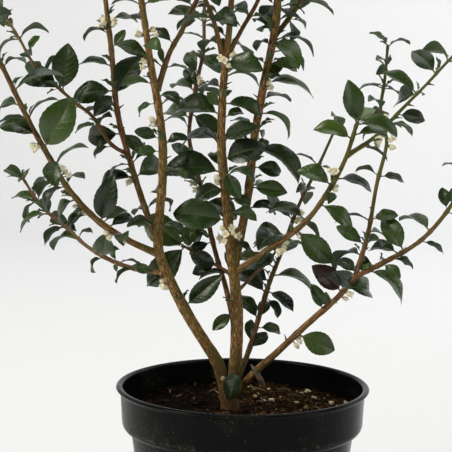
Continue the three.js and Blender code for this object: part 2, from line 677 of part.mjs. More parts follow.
// A thin folded blade on its stalk: two faces that meet at the edge and stand apart along the midrib.
function leafSolid(leaf) {
  const half = LEAF.thickness / 2;
  const upperRib = [];
  const lowerRib = [];
  for (const share of [0, ...RIB_STATIONS]) {
    const { point, up } = ribAt(leaf, share);
    upperRib.push(point.clone().addScaledVector(up, half));
    lowerRib.push(point.clone().addScaledVector(up, -half));
  }
  const edges = [-1, 1].map((hand) => [
    leaf.foot.clone().addScaledVector(leaf.side, (hand * LEAF.stalkWidth) / 2),
    ...EDGE_STATIONS.map((share) => edgeAt(leaf, share, hand)),
  ]);
  const vertices = [leaf.root, ribAt(leaf, 1).point, ...upperRib, ...lowerRib, ...edges[0], ...edges[1]];
  const ribs = upperRib.length;
  const outline = edges[0].length;
  const ribShares = [0, ...RIB_STATIONS, 1];
  const edgeShares = [0, ...EDGE_STATIONS, 1];
  const faces = [];
  for (const face of [0, 1]) {
    const rib = [...Array(ribs).keys()].map((i) => 2 + face * ribs + i).concat(1);
    for (const hand of [0, 1]) {
      const edge = [...Array(outline).keys()].map((i) => 2 + 2 * ribs + hand * outline + i).concat(1);
      const flip = face !== hand;
      zip([0, ...rib], [-1, ...ribShares], [0, ...edge], [-1, ...edgeShares], flip, faces);
    }
  }
  return solidFromFaces(vertices, faces);
}

// Triangles between two lines of vertices that share their first and last vertex.
function zip(inner, innerShares, outer, outerShares, flip, faces) {
  let [i, j] = [0, 0];
  while (i < inner.length - 1 || j < outer.length - 1) {
    const innerNext = i < inner.length - 1 ? innerShares[i + 1] : Infinity;
    const outerNext = j < outer.length - 1 ? outerShares[j + 1] : Infinity;
    const moveInner = innerNext < outerNext;
    const third = moveInner ? inner[i + 1] : outer[j + 1];
    if (inner[i] !== outer[j] && third !== inner[i] && third !== outer[j]) {
      faces.push(flip ? [inner[i], outer[j], third] : [outer[j], inner[i], third]);
    }
    if (moveInner) i += 1;
    else j += 1;
  }
}

// Balls that stand for stems, leaves and flowers while leaves are bent clear of each other.
const BALL_SPACING = 5;
const STEM_CLEARANCE = 1;
// A leaf's balls: each one's share of the length, and of the half width to one side.
const LEAF_BALLS = [
  [0.2, -0.55], [0.2, 0.55], [0.5, -0.55], [0.5, 0.55], [0.8, -0.55], [0.8, 0.55], [0.98, 0],
];
const LEAF_BALL_SHARE = 0.46; // of the leaf's half width
const TIP_BALL = 1.3;
const FLOWER_BALL = 2.4;
const SAME_SHOOT_EASE = 2; // leaves of one shoot may come this much closer
const LEANS = [0, -14, 14, 28];
const TURNS = [0, 22, -22, 44, -44, 66, -66];
const TRIES = LEANS.flatMap((lean) => TURNS.map((turn) => [turn, lean]));
const ACCEPTED = 0.05; // deepest overlap of balls that counts as clear
const DROPPED = 1.2; // a leaf that stays deeper than this in others isn't grown

function stemBalls(stem) {
  const balls = [];
  for (let distance = 0; distance <= stem.path.length; distance += BALL_SPACING) {
    const radius = radiusAlong(stem, stem.path, distance) + STEM_CLEARANCE;
    balls.push({ centre: pointAlong(stem.path, distance), radius, shoot: stem.shoot, stem });
  }
  return balls;
}

function leafBalls(leaf, shoot) {
  return LEAF_BALLS.map(([share, across]) => {
    const reach = halfWidth(leaf, share);
    const centre = ribAt(leaf, share).point.addScaledVector(leaf.side, across * reach);
    return { centre, radius: TIP_BALL + (across ? LEAF_BALL_SHARE * reach : 0), shoot };
  });
}

// How deep the balls sink into others, those of the same stem left out.
function deepest(balls, others, stem) {
  let most = 0;
  for (const ball of balls) {
    for (const other of others) {
      if (other.stem === stem) continue;
      const ease = other.shoot === stem.shoot ? SAME_SHOOT_EASE : 0;
      const depth = ball.radius + other.radius - ease - ball.centre.distanceTo(other.centre);
      most = Math.max(most, depth);
    }
  }
  return most;
}

// The places of a stem's pairs of leaves: those set by hand, then a rule up to its tip.
function pairPlaces(stem, random) {
  const places = (stem.pairs ?? []).map(([distance, bearing, first, second, open, front]) => ({
    distance,
    bearing: bearing + 16 * (random() - 0.5),
    lengths: [first, second],
    open: open ?? LEAF.openAngle,
    front: front ?? 0,
  }));
  let turn = stem.turn ?? 0;
  let distance = stem.bare ?? stem.path.length;
  while (distance < stem.path.length - 0.5 * (stem.gap ?? 0)) {
    const length = stem.leaf * spread(random, 0.15);
    const bearing = turn + 36 * (random() - 0.5);
    const lengths = [length, length * spread(random, 0.15)];
    places.push({ distance, bearing, lengths, open: LEAF.openAngle, front: 0 });
    distance += stem.gap * spread(random, 0.14);
    turn += 90;
  }
  if (stem.tip) {
    const end = stem.path.length - 1;
    places.push({ distance: end, bearing: turn, lengths: stem.tip, open: LEAF.tipAngle, front: 0 });
  }
  return places;
}

// A stem's leaves, each turned and leaned until it is clear of what has grown before it.
function growLeaves(stem, random, balls) {
  const leaves = [];
  for (const place of pairPlaces(stem, random)) {
    place.lengths.forEach((usual, hand) => {
      if (!usual) return;
      const front = hand ? 0 : place.front;
      const length = usual * spread(random, 0.05);
      const draw = {
        width: length * LEAF.widthShare * spread(random, 0.16),
        bend: LEAF.bend * (1 - LEAF.flatter * front) * spread(random, 0.4),
        fold: LEAF.fold * spread(random, 0.5),
        phase: random(),
      };
      const roll = radians((front ? LEAF.frontRoll : LEAF.roll) * (2 * random() - 1));
      const open = place.open + LEAF.openJitter * (2 * random() - 1);
      let best = null;
      for (const [turn, lean] of TRIES) {
        const bearing = radians(place.bearing + 180 * hand + turn);
        const aim = { bearing, open: radians(open + lean), front, roll };
        const leaf = makeLeaf(stem, stem.path, place.distance, aim, length, draw);
        const depth = deepest(leafBalls(leaf, stem.shoot), balls, stem);
        if (!best || depth < best.depth - 1e-6) best = { leaf, depth };
        if (best.depth <= ACCEPTED) break;
      }
      if (best.depth > DROPPED) return;
      leaves.push(best.leaf);
      balls.push(...leafBalls(best.leaf, stem.shoot));
    });
  }
  return leaves;
}

// Flowers and buds in the axils at one place on a stem.
function growCluster(stem, [distance, bearing, number], random, balls) {
  const flowers = [];
  const tangent = tangentAlong(stem.path, distance);
  for (let i = 0; i < number; i += 1) {
    const outward = outwardAt(tangent, radians(bearing) + 1.9 * (random() - 0.5));
    const lean = radians(70 + 60 * (random() - 0.5));
    const root = pointAlong(stem.path, distance + 7 * (random() - 0.5));
    const reach = radiusAlong(stem, stem.path, distance) + FLOWER.reach * spread(random, 0.35);
    const along = tangent.clone().multiplyScalar(Math.cos(lean)).addScaledVector(outward, Math.sin(lean));
    const open = random() < FLOWER.openShare;
    const [size, turn] = [spread(random, 0.15), random()];
    const centre = root.clone().addScaledVector(along, reach + 0.5 * FLOWER.length);
    const ball = { centre, radius: FLOWER_BALL, shoot: stem.shoot };
    if (deepest([ball], balls, stem) > ACCEPTED) continue;
    flowers.push({ root, along, reach, open, size, turn });
    balls.push(ball);
  }
  return flowers;
}

// A four-lobed bell, or a closed bud, that tapers to its root in the stem.
function flowerSolid(flower) {
  const { right, near } = across(flower.along);
  const ring = (away, radius, turn) => [0, 1, 2, 3].map((corner) => {
    const angle = (corner / 4 + turn) * 2 * Math.PI;
    return flower.root.clone().addScaledVector(flower.along, away)
      .addScaledVector(right, radius * Math.cos(angle)).addScaledVector(near, radius * Math.sin(angle));
  });
  const length = FLOWER.length * flower.size;
  const rings = flower.open
    ? [ring(flower.reach, FLOWER.tube * flower.size, flower.turn),
      ring(flower.reach + 0.75 * length, FLOWER.mouth * flower.size, flower.turn)]
    : [ring(flower.reach + 0.4 * length, FLOWER.budRadius * flower.size, flower.turn)];
  const end = flower.reach + (flower.open ? 0.5 : 1) * length;
  const tip = flower.root.clone().addScaledVector(flower.along, end);
  const vertices = [flower.root, ...rings.flat(), tip];
  const faces = [];
  const top = vertices.length - 1;
  for (let corner = 0; corner < 4; corner += 1) {
    const next = (corner + 1) % 4;
    faces.push([0, 1 + corner, 1 + next]);
    if (flower.open) faces.push([1 + corner, 5 + corner, 1 + next], [1 + next, 5 + corner, 5 + next]);
    faces.push([top, top - 4 + next, top - 4 + corner]);
  }
  return solidFromFaces(vertices, faces);
}

// A short dead spur, a three-sided thorn.
function spurSolid(stem, [distance, bearing]) {
  const tangent = tangentAlong(stem.path, distance);
  const along = outwardAt(tangent, radians(bearing)).addScaledVector(tangent, 0.6).normalize();
  const { right, near } = across(along);
  const root = pointAlong(stem.path, distance);
  const reach = radiusAlong(stem, stem.path, distance);
  const ring = [0, 1, 2].map((corner) => root.clone()
    .addScaledVector(right, SPUR.radius * Math.cos((corner / 3) * 2 * Math.PI))
    .addScaledVector(near, SPUR.radius * Math.sin((corner / 3) * 2 * Math.PI)));
  const tip = root.clone().addScaledVector(along, reach + SPUR.length);
  return solidFromFaces([...ring, tip], [[0, 2, 1], [0, 1, 3], [1, 2, 3], [2, 0, 3]]);
}

// The whole plant: every stem with its flowers and leaves, set clear of each other.
function growPlant() {
  const random = randomSource(PLANT_SEED);
  const shoots = SHOOTS.map(({ name, stems }) => ({
    name,
    stems: stems.map((stem) => ({ ...stem, shoot: name, path: stemPath(stem.route) })),
  }));
  const stems = shoots.flatMap((shoot) => shoot.stems);
  const balls = stems.flatMap(stemBalls);
  for (const stem of stems) {
    stem.flowers = (stem.blooms ?? []).flatMap((bloom) => growCluster(stem, bloom, random, balls));
    stem.leaves = growLeaves(stem, random, balls);
  }
  return shoots;
}

// A shoot as one solid, clear of the stems of the shoots before it.
function shootSolid(shoot, earlier) {
  const whole = union(shoot.stems.flatMap((stem) => [
    stemSolid(stem, stem.path),
    ...stem.leaves.map(leafSolid),
    ...stem.flowers.map(flowerSolid),
    ...(stem.spurs ?? []).map((spur) => spurSolid(stem, spur)),
  ]));
  const clearance = earlier.flatMap((other) => other.stems.map((stem) => stemSolid(stem, stem.path, GAP)));
  return clearance.length ? whole.subtract(union(clearance)) : whole;
}

// Where two shoots meet, the later one ends at the earlier one's bark, so only its largest body is kept.
function largestBody(solid) {
  const bodies = solid.decompose();
  return bodies.reduce((most, body) => (body.volume() > most.volume() ? body : most));
}

const plant = new THREE.Group();
plant.add(meshNode("pot", makePot(), PLASTIC));
plant.add(meshNode("soil", makeSoil(), EARTH));
growPlant().forEach((shoot, i, all) => {
  const solid = largestBody(shootSolid(shoot, all.slice(0, i)));
  plant.add(meshNode(shoot.name, solid, i === 0 ? BARK : FOLIAGE));
});

export default plant;
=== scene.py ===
"""Looks of a potted burkwood osmanthus: a small-leaved evergreen shrub in its black nursery pot.

The plant is grown by the same rule as the solid model, from the same listed stems and seed, so that every
stem, leaf and flower is where its solid is, but with fine meshes. Lengths are in millimetres until a mesh is
made, and then in metres. +Z is up and -Y is towards the viewer.
"""

import math

import bpy
import numpy as np
from mathutils import Matrix, Vector, noise


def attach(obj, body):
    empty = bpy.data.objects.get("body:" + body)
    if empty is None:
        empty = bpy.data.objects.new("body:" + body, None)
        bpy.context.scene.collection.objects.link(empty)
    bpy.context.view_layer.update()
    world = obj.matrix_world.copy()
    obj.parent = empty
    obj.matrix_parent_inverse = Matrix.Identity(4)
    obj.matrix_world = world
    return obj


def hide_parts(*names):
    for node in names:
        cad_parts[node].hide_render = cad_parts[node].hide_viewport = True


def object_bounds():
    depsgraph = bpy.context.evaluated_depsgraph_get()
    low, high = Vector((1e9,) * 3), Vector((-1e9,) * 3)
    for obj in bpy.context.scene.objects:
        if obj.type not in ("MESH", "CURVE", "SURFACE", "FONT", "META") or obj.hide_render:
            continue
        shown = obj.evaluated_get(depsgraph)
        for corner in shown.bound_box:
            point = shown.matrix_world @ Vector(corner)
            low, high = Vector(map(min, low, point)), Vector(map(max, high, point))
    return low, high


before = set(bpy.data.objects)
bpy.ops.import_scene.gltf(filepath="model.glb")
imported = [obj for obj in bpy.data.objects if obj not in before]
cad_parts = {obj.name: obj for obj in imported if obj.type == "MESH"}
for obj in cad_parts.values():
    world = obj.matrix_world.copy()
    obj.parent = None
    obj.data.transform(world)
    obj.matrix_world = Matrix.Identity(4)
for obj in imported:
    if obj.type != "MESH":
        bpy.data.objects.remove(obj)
cad_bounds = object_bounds()

MM = 0.001
TURN = 2 * math.pi
RIGHT = np.array([1.0, 0.0, 0.0])
UP = np.array([0.0, 0.0, 1.0])
TO_VIEWER = np.array([0.0, -1.0, 0.0])
PLANT_SEED = 2024
DETAIL_SEED = 77

# The pot, as the solid one, with a finer rim.
POT = {
    "height": 152, "lip_radius": 95, "lip_thickness": 3.2, "lip_tuck": 1, "lip_under": 1.2,
    "lip_shoulder": (1, 0.4), "lip_flat": 2.4, "edge_rounding": 1.5, "band_top_radius": 91.5,
    "band_bottom_radius": 90.3, "band_bottom": 125, "band_corner": 7, "wall_top_radius": 83.5,
    "base_radius": 68, "wall": 1.6, "floor": 2.4, "inner_corner": 1.2, "foot_chamfer": 2, "segments": 160,
}
DRAIN = {"count": 8, "radius": 5, "ring": 50, "sides": 24}
DRAIN_GROOVE = {"outer": 75, "width": 5, "depth": 1}
GAP = 0.3  # between the soil and the pot

# The soil and what lies on it. A chip's flake is the outline of one, in shares of its length and width.
SOIL = {"top": 133, "bump": 1.3, "rings": 70, "segments": 150, "lump": 2.2, "shoulder": 1.4}
SOIL_LUMPS = [(6.5, 0.55), (3.1, 0.3), (1.7, 0.15)]  # size and share
CHIPS = {"count": 14, "sizes": (9, 4.5, 2.8), "inner_radius": 18, "outer_radius": 76, "seed": 7}
FLAKE = [(-0.5, -0.3), (-0.15, -0.5), (0.3, -0.45), (0.5, -0.1), (0.45, 0.35), (0.05, 0.5), (-0.4, 0.4)]
SMALL_CHIPS = 520
CRUMBS = 1300
TWIGS = 26
PLANT_FOOT = (-9, 0)

# Leaves, flowers and spurs. Angles are in degrees, but bend and fold in radians.
LEAF = {
    "width_share": 0.56, "stalk_length": 2.6, "open_angle": 62, "open_jitter": 12, "tip_angle": 30,
    "bend": 1.45, "flatter": 0.5, "fold": 0.3, "wave": 0.5, "roll": 34, "towards_light": 0.7,
    "front_roll": 10, "widest": 0.92,
}
FLOWER = {"reach": 2, "tube": 1.7, "length": 4.6, "bud_radius": 1.9, "open_share": 0.6}
LIGHT_AXIS = np.array([-10.0, 60.0])  # leaves turn away from this line and up
LIGHT_OUTWARD = 0.5
LIGHT_UP = 0.85

SHOOTS = [
    "crown", "centre_shoot", "left_shoot", "left_outer_shoot", "left_inner_shoot", "centre_right_shoot",
    "right_shoot", "low_right_shoot", "back_left_shoot", "back_right_shoot",
]

# Each shoot's first stem is the leader, and the others fork from it.
# radii: the stem's, at its foot and its tip
# rule: from the first distance on, pairs of leaves follow every second distance, of about the third
#   length, the first pair at the bearing given last
# tip: the lengths of the last pair, at the stem's end
# route: a few points on the stem's axis, from its foot to its tip
# pairs: leaves given one by one, each (distance along the stem, bearing, length), then, where they aren't the
#   usual, the opposite leaf's length, the angle between stem and stalk, and how far the face turns to the
#   viewer, up to 1
# blooms: clusters of flowers, each (distance, bearing, number)
# spurs: dead thorn-like spurs, each (distance, bearing)
# A bearing is in degrees round the stem: 0 to the right, 90 towards the viewer, 180 to the left.
STEMS = [
    {
        "shoot": "crown", "radii": (6.4, 7.3),
        "route": [(-9, 0, 106), (-9, 0, 130), (-11, 0, 146), (-12, 0, 153)],
    },
    {
        "shoot": "centre_shoot", "radii": (5.5, 1.2), "rule": (312, 41, 28, 0), "tip": (24, 21),
        "route": [(-11, 0, 140), (-6, 0, 164), (-5, 0, 209), (-10, 0, 253), (-15, 0, 299), (-18, 0, 333),
            (-17, 0, 376), (-13, 0, 420), (-11, 2, 466), (-14, 4, 505), (-12, 5, 536)],
        "pairs": [(27, 55, 23, 0, 125, 0.8), (70, 160, 18, 0, 115, 0.9), (96, 185, 21), (104, 255, 22),
            (118, 230, 28), (136, 160, 38, 0, 75, 0.6), (142, 0, 22, 0, 80, 0.2), (154, 20, 15, 0, 100, 0.5),
            (159, 300, 0, 25), (168, 10, 23), (172, 180, 41, 0, 70, 0.3), (173, 210, 23, 0, 35, 0.5),
            (176, 20, 21, 0, 150, 0.9), (181, 20, 31, 0, 70, 0.6), (190, 270, 25), (194, 180, 35, 0, 50),
            (196, 20, 29, 0, 65, 0.6), (211, 0, 15, 0, 65, 0.4), (214, 180, 36, 0, 55),
            (218, 160, 13, 0, 45, 0.7), (223, 0, 28, 0, 75, 0.3), (234, 220, 25), (242, 0, 26, 0, 70),
            (254, 20, 28, 0, 100, 0.6), (260, 180, 13, 0, 45, 0.3), (266, 0, 31, 0, 80, 0.3), (270, 200, 22),
            (285, 60, 18, 20)],
        "blooms": [(124, 95, 8), (121, 200, 4), (165, 190, 4), (253, 70, 6)], "spurs": [(150, 190), (236, 0)],
    },
    {
        "shoot": "centre_shoot", "radii": (2, 1.2), "rule": (28, 29, 26, 180), "tip": (21, 19),
        "route": [(-18, 0, 397), (-26, -6, 426), (-35, -12, 445), (-44, -18, 470)],
        "blooms": [(30, 200, 3)],
    },
    {
        "shoot": "centre_shoot", "radii": (1.9, 1.2), "rule": (34, 26, 25, 0), "tip": (21, 19),
        "route": [(-14, 0, 397), (-4, 7, 416), (8, 15, 438), (17, 22, 466)],
    },
    {
        "shoot": "centre_shoot", "radii": (1.4, 0.9),
        "route": [(-11, 0, 236), (-28, 7, 245), (-45, 12, 254)],
        "pairs": [(9, 160, 21, 0, 15, 0.7), (35, 20, 19, 0, 55, 0.6), (40, 20, 41, 0, 10, 0.8),
            (40, 160, 41, 0, 70, 0.9)],
    },
    {
        "shoot": "centre_shoot", "radii": (1.4, 0.9), "tip": (21, 18),
        "route": [(-5, 0, 222), (8, 15, 233), (17, 25, 240), (28, 36, 252)],
        "pairs": [(34, 160, 25, 0, 85, 0.5)],
    },
    {
        "shoot": "left_shoot", "radii": (5, 1.6), "rule": (324, 40, 28, 90), "tip": (22, 20),
        "route": [(-11, 0, 143), (-19, -1, 168), (-30, -2, 186), (-41, -3, 204), (-55, -3, 231),
            (-64, -4, 257), (-61, -6, 302), (-61, -8, 333), (-64, -10, 359), (-70, -12, 392),
            (-74, -14, 419), (-79, -16, 450), (-86, -18, 485), (-90, -20, 512)],
        "pairs": [(28, 250, 21, 0, 130), (76, 20, 35, 0, 70, 0.9), (101, 190, 17), (138, 0, 24, 21),
            (163, 30, 0, 16), (166, 0, 14, 0, 125, 0.4), (181, 0, 21), (196, 160, 16, 0, 75, 0.7),
            (200, 350, 17), (205, 160, 16, 0, 55, 0.7), (217, 0, 20), (229, 345, 22),
            (232, 180, 16, 0, 75, 0.2), (236, 0, 20, 0, 85), (246, 185, 21), (262, 160, 24, 0, 45, 0.5),
            (273, 20, 20), (290, 250, 21), (303, 0, 24, 20)],
        "blooms": [(94, 190, 3), (217, 180, 3), (259, 200, 3), (281, 0, 3), (283, 180, 3)],
        "spurs": [(120, 200), (190, 10)],
    },
    {
        "shoot": "left_shoot", "radii": (2.2, 1.4), "rule": (84, 26, 23, 90), "tip": (20, 19),
        "route": [(-65, -9, 371), (-57, -4, 397), (-48, 1, 414), (-38, 5, 435), (-25, 10, 459),
            (-16, 14, 480)],
        "pairs": [(17, 0, 17, 19), (36, 160, 16, 0, 75, 0.6), (46, 0, 18), (57, 90, 17, 18),
            (67, 185, 25, 19)],
    },
    {
        "shoot": "left_shoot", "radii": (2, 1.1), "rule": (98, 18, 22, 30), "tip": (24, 21),
        "route": [(-60, -4, 236), (-85, 8, 238), (-104, 21, 243), (-121, 33, 251), (-137, 45, 263),
            (-158, 58, 278), (-173, 70, 297)],
        "pairs": [(6, 160, 16, 0, 60, 0.8), (24, 180, 17), (40, 0, 18, 0, 105, 0.2), (54, 0, 15, 17),
            (62, 160, 20, 0, 130, 0.9), (80, 180, 31, 0, 10, 0.2), (82, 180, 0, 14),
            (106, 330, 13, 0, 155, 0.6), (116, 180, 27, 0, 45, 0.3), (128, 180, 26, 0, 10, 0.2),
            (136, 20, 16, 0, 40, 0.8)],
    },
    {
        "shoot": "left_outer_shoot", "radii": (2.6, 1.5), "rule": (206, 31, 28, 90), "tip": (22, 21),
        "route": [(-63, -4, 250), (-86, -9, 261), (-109, -14, 277), (-130, -18, 301), (-144, -23, 326),
            (-156, -28, 349), (-170, -32, 379), (-183, -37, 407), (-198, -42, 433)],
        "pairs": [(28, 0, 21), (44, 20, 29, 0, 130, 0.5), (44, 160, 25, 0, 115, 0.95),
            (49, 330, 19, 0, 100, 0.4), (50, 20, 36, 0, 55, 0.95), (60, 180, 19), (75, 180, 27, 0, 80, 0.4),
            (87, 330, 20, 22), (103, 0, 29), (110, 20, 26, 0, 90, 0.5), (119, 20, 41, 0, 65, 0.9),
            (129, 180, 28, 0, 25, 0.4), (143, 330, 26, 22), (154, 200, 24), (166, 0, 35), (184, 20, 20, 22)],
        "blooms": [(36, 185, 6), (66, 190, 2), (98, 185, 3), (96, 10, 3), (122, 185, 6)],
        "spurs": [(104, 200), (79, 200)],
    },
    {
        "shoot": "left_inner_shoot", "radii": (2.4, 1.7), "rule": (196, 40, 27, 0), "tip": (21, 20),
        "route": [(-64, -4, 258), (-73, 1, 281), (-83, 5, 310), (-95, 10, 352), (-100, 14, 397),
            (-105, 19, 436), (-110, 23, 480), (-113, 28, 513)],
        "pairs": [(14, 0, 22, 0, 120, 0.3), (27, 180, 19, 21), (52, 20, 31, 0, 75, 0.8),
            (52, 180, 29, 0, 60, 0.4), (62, 0, 21, 19), (73, 310, 24), (86, 160, 28, 0, 70, 0.8),
            (88, 20, 18, 0, 150, 0.8), (102, 180, 24), (114, 20, 32, 0, 45, 0.8),
            (116, 160, 21, 0, 115, 0.8), (118, 160, 29, 0, 85, 0.6), (128, 0, 20),
            (136, 180, 24, 0, 55, 0.2), (148, 20, 14, 0, 30, 0.8), (160, 190, 21), (170, 0, 21, 0, 65)],
        "blooms": [(46, 190, 2), (167, 180, 3), (165, 10, 3)], "spurs": [(104, 0), (133, 0)],
    },
    {
        "shoot": "left_inner_shoot", "radii": (1.5, 1), "rule": (86, 20, 23, 0), "tip": (24, 21),
        "route": [(-87, 6, 323), (-100, 5, 331), (-113, 8, 350), (-126, 11, 360), (-138, 14, 370),
            (-158, 24, 387), (-171, 34, 407), (-181, 42, 421)],
        "pairs": [(13, 180, 17), (31, 0, 19, 17), (52, 180, 21, 18), (69, 20, 33, 0, 60, 0.95),
            (72, 160, 31, 0, 25, 0.5), (112, 20, 14, 0, 60, 0.6), (133, 160, 17, 0, 10, 0.6)],
    },
    {
        "shoot": "centre_right_shoot", "radii": (3.4, 2.6), "rule": (218, 38, 26, 90), "tip": (21, 19),
        "route": [(-8, 0, 238), (2, 5, 293), (6, 8, 335), (13, 10, 377), (20, 13, 413), (22, 15, 438),
            (20, 18, 474), (26, 20, 508)],
        "pairs": [(46, 180, 21, 24), (63, 20, 24, 0, 90, 0.6), (65, 0, 41, 0, 90, 0.2),
            (78, 20, 21, 0, 85, 0.6), (92, 0, 41, 0, 80, 0.25), (93, 0, 0, 18), (102, 20, 15, 0, 125, 0.6),
            (106, 200, 20), (108, 20, 20, 0, 110, 0.5), (118, 0, 31, 0, 80), (128, 330, 24),
            (140, 20, 18, 0, 15, 0.7), (141, 0, 37, 0, 70), (154, 10, 21, 18), (164, 330, 29),
            (169, 20, 0, 19), (172, 0, 35, 0, 65), (172, 0, 36, 0, 80), (177, 180, 22, 0, 45),
            (180, 160, 24, 0, 35, 0.5), (187, 0, 24), (197, 185, 25, 19)],
        "blooms": [(139, 0, 3)], "spurs": [(128, 185)],
    },
    {
        "shoot": "centre_right_shoot", "radii": (2, 1.4), "rule": (46, 24, 25, 90), "tip": (21, 20),
        "route": [(20, 13, 411), (29, 19, 422), (40, 27, 438), (51, 34, 465)],
        "pairs": [(17, 0, 19, 17), (35, 0, 26)],
    },
    {
        "shoot": "right_shoot", "radii": (2.7, 1.4), "tip": (29, 28),
        "route": [(-8, 0, 236), (19, -6, 256), (44, -11, 276), (61, -15, 301), (72, -20, 324),
            (79, -24, 349)],
        "pairs": [(18, 180, 17), (30, 270, 21, 19), (41, 185, 31), (50, 160, 32, 0, 130, 0.5),
            (58, 20, 34, 0, 85, 0.85), (68, 180, 31, 0, 100, 0.3), (84, 20, 27, 0, 85, 0.5), (92, 90, 19),
            (100, 160, 27, 0, 80, 0.5), (106, 0, 26), (138, 160, 28, 0, 80, 0.5), (141, 0, 24, 0, 60, 0.2),
            (149, 0, 29, 0, 60, 0.3), (149, 160, 31, 0, 35, 0.9)],
        "blooms": [(38, 5, 8), (55, 10, 3), (96, 0, 4), (110, 180, 4)],
    },
    {
        "shoot": "right_shoot", "radii": (1.7, 0.9), "rule": (116, 20, 26, 0), "tip": (24, 21),
        "route": [(73, -20, 326), (94, -6, 339), (114, 7, 358), (134, 19, 377), (154, 32, 397),
            (172, 44, 413)],
        "pairs": [(15, 0, 19), (44, 0, 16, 0, 45, 0.2), (54, 20, 18, 0, 65, 0.6), (78, 160, 28, 0, 95, 0.5),
            (78, 210, 32, 0, 85, 0.6), (101, 180, 26, 0, 70, 0.7)],
        "blooms": [(28, 0, 4), (43, 180, 3)], "spurs": [(66, 0), (90, 0)],
    },
    {
        "shoot": "low_right_shoot", "radii": (3.1, 1.2), "rule": (234, 20, 21, 90), "tip": (20, 18),
        "route": [(-9, 0, 138), (5, -5, 158), (26, -8, 179), (47, -10, 200), (69, -13, 221), (81, -16, 236),
            (101, -10, 246), (128, -4, 261), (147, 2, 280), (161, 8, 301), (172, 14, 321)],
        "pairs": [(74, 20, 26, 0, 70, 0.8), (100, 160, 20, 0, 70, 0.7), (105, 270, 20),
            (120, 160, 28, 0, 65, 0.8), (122, 20, 14, 0, 35, 0.5), (124, 20, 33, 0, 75, 0.6),
            (130, 120, 28, 0, 70, 0.6), (138, 160, 18, 0, 105, 0.5), (146, 0, 36, 0, 35, 0.3),
            (154, 160, 21, 0, 120, 0.8), (158, 20, 16, 0, 65, 0.6), (166, 0, 16, 0, 35),
            (173, 180, 22, 0, 110, 0.4), (177, 160, 27, 0, 80, 0.8), (192, 0, 17, 0, 55, 0.4),
            (202, 210, 32, 0, 90, 0.4), (221, 180, 0, 16), (222, 160, 15, 0, 55, 0.9)],
        "blooms": [(69, 5, 3), (118, 5, 3)], "spurs": [(64, 180)],
    },
    {
        "shoot": "low_right_shoot", "radii": (1.8, 1.1), "rule": (134, 19, 19, 90), "tip": (18, 16),
        "route": [(81, -15, 236), (91, -2, 266), (98, 11, 302), (106, 23, 333), (102, 35, 355),
            (106, 48, 379), (109, 60, 405)],
        "pairs": [(18, 180, 32, 0, 65, 0.3), (26, 160, 22, 0, 65, 0.6), (27, 175, 0, 22), (37, 0, 27),
            (45, 10, 0, 27), (46, 20, 17, 0, 80, 0.5), (80, 0, 18, 17), (119, 0, 22, 20)],
        "blooms": [(107, 0, 4)],
    },
    {
        "shoot": "back_left_shoot", "radii": (2.1, 1.2), "rule": (190, 28, 25, 0), "tip": (21, 20),
        "route": [(-6, 1, 192), (-13, 8, 222), (-23, 18, 254), (-36, 33, 308), (-43, 45, 336),
            (-38, 57, 374), (-33, 69, 400), (-33, 80, 427), (-32, 92, 470)],
        "pairs": [(53, 160, 18, 0, 105, 0.6), (70, 160, 18, 0, 110, 0.6), (90, 160, 24, 0, 130, 0.6),
            (102, 20, 27, 0, 120, 0.5), (110, 180, 18, 0, 40, 0.3), (133, 160, 21, 0, 35, 0.5),
            (168, 180, 26, 0, 70, 0.4), (172, 20, 26, 0, 105, 0.5), (192, 160, 18, 0, 40, 0.5),
            (204, 160, 21, 0, 55, 0.6), (216, 20, 18, 0, 85, 0.5), (216, 160, 22, 0, 45, 0.7)],
        "blooms": [(115, 200, 4), (195, 20, 4)],
    },
    {
        "shoot": "back_right_shoot", "radii": (2.3, 1.1), "rule": (118, 24, 23, 90), "tip": (21, 19),
        "route": [(-6, 0, 150), (5, 18, 175), (19, 36, 220), (29, 46, 245), (42, 56, 280), (58, 66, 312),
            (70, 74, 338)],
        "pairs": [(32, 20, 17, 0, 25, 0.8), (36, 160, 18, 0, 25, 0.8), (50, 0, 17, 0, 65, 0.3),
            (56, 20, 17, 0, 10, 0.6), (56, 160, 22, 0, 40, 0.6), (75, 0, 17, 0, 110, 0.4),
            (78, 160, 26, 0, 75, 0.6), (80, 0, 24, 0, 90, 0.3), (88, 160, 34, 0, 75, 0.6),
            (93, 0, 35, 0, 60, 0.2), (99, 160, 22, 0, 80, 0.5)],
        "blooms": [(140, 20, 4)],
    },
]


# The plant's rule.
class Draws:
    """Numbers drawn in a fixed order from a seed, between 0 and 1."""

    def __init__(self, seed):
        self.state = seed

    def __call__(self):
        self.state = (self.state * 1664525 + 1013904223) % 4294967296
        return self.state / 4294967296

    def spread(self, share):
        return 1 + share * (2 * self() - 1)


def unit(vector):
    return vector / math.sqrt(vector @ vector)


def square_to(vector, direction):
    """The part of a vector that is square to a direction, of length 1."""
    return unit(vector - direction * (vector @ direction))


def cross(a, b):
    return np.array([a[1] * b[2] - a[2] * b[1], a[2] * b[0] - a[0] * b[2], a[0] * b[1] - a[1] * b[0]])


def turned(vector, axis, angle):
    """A vector turned round an axis of length 1, by the right-hand rule."""
    c, s = math.cos(angle), math.sin(angle)
    return vector * c + cross(axis, vector) * s + axis * (axis @ vector) * (1 - c)


SPAN_STEPS = 6
TANGENT_REACH = 2


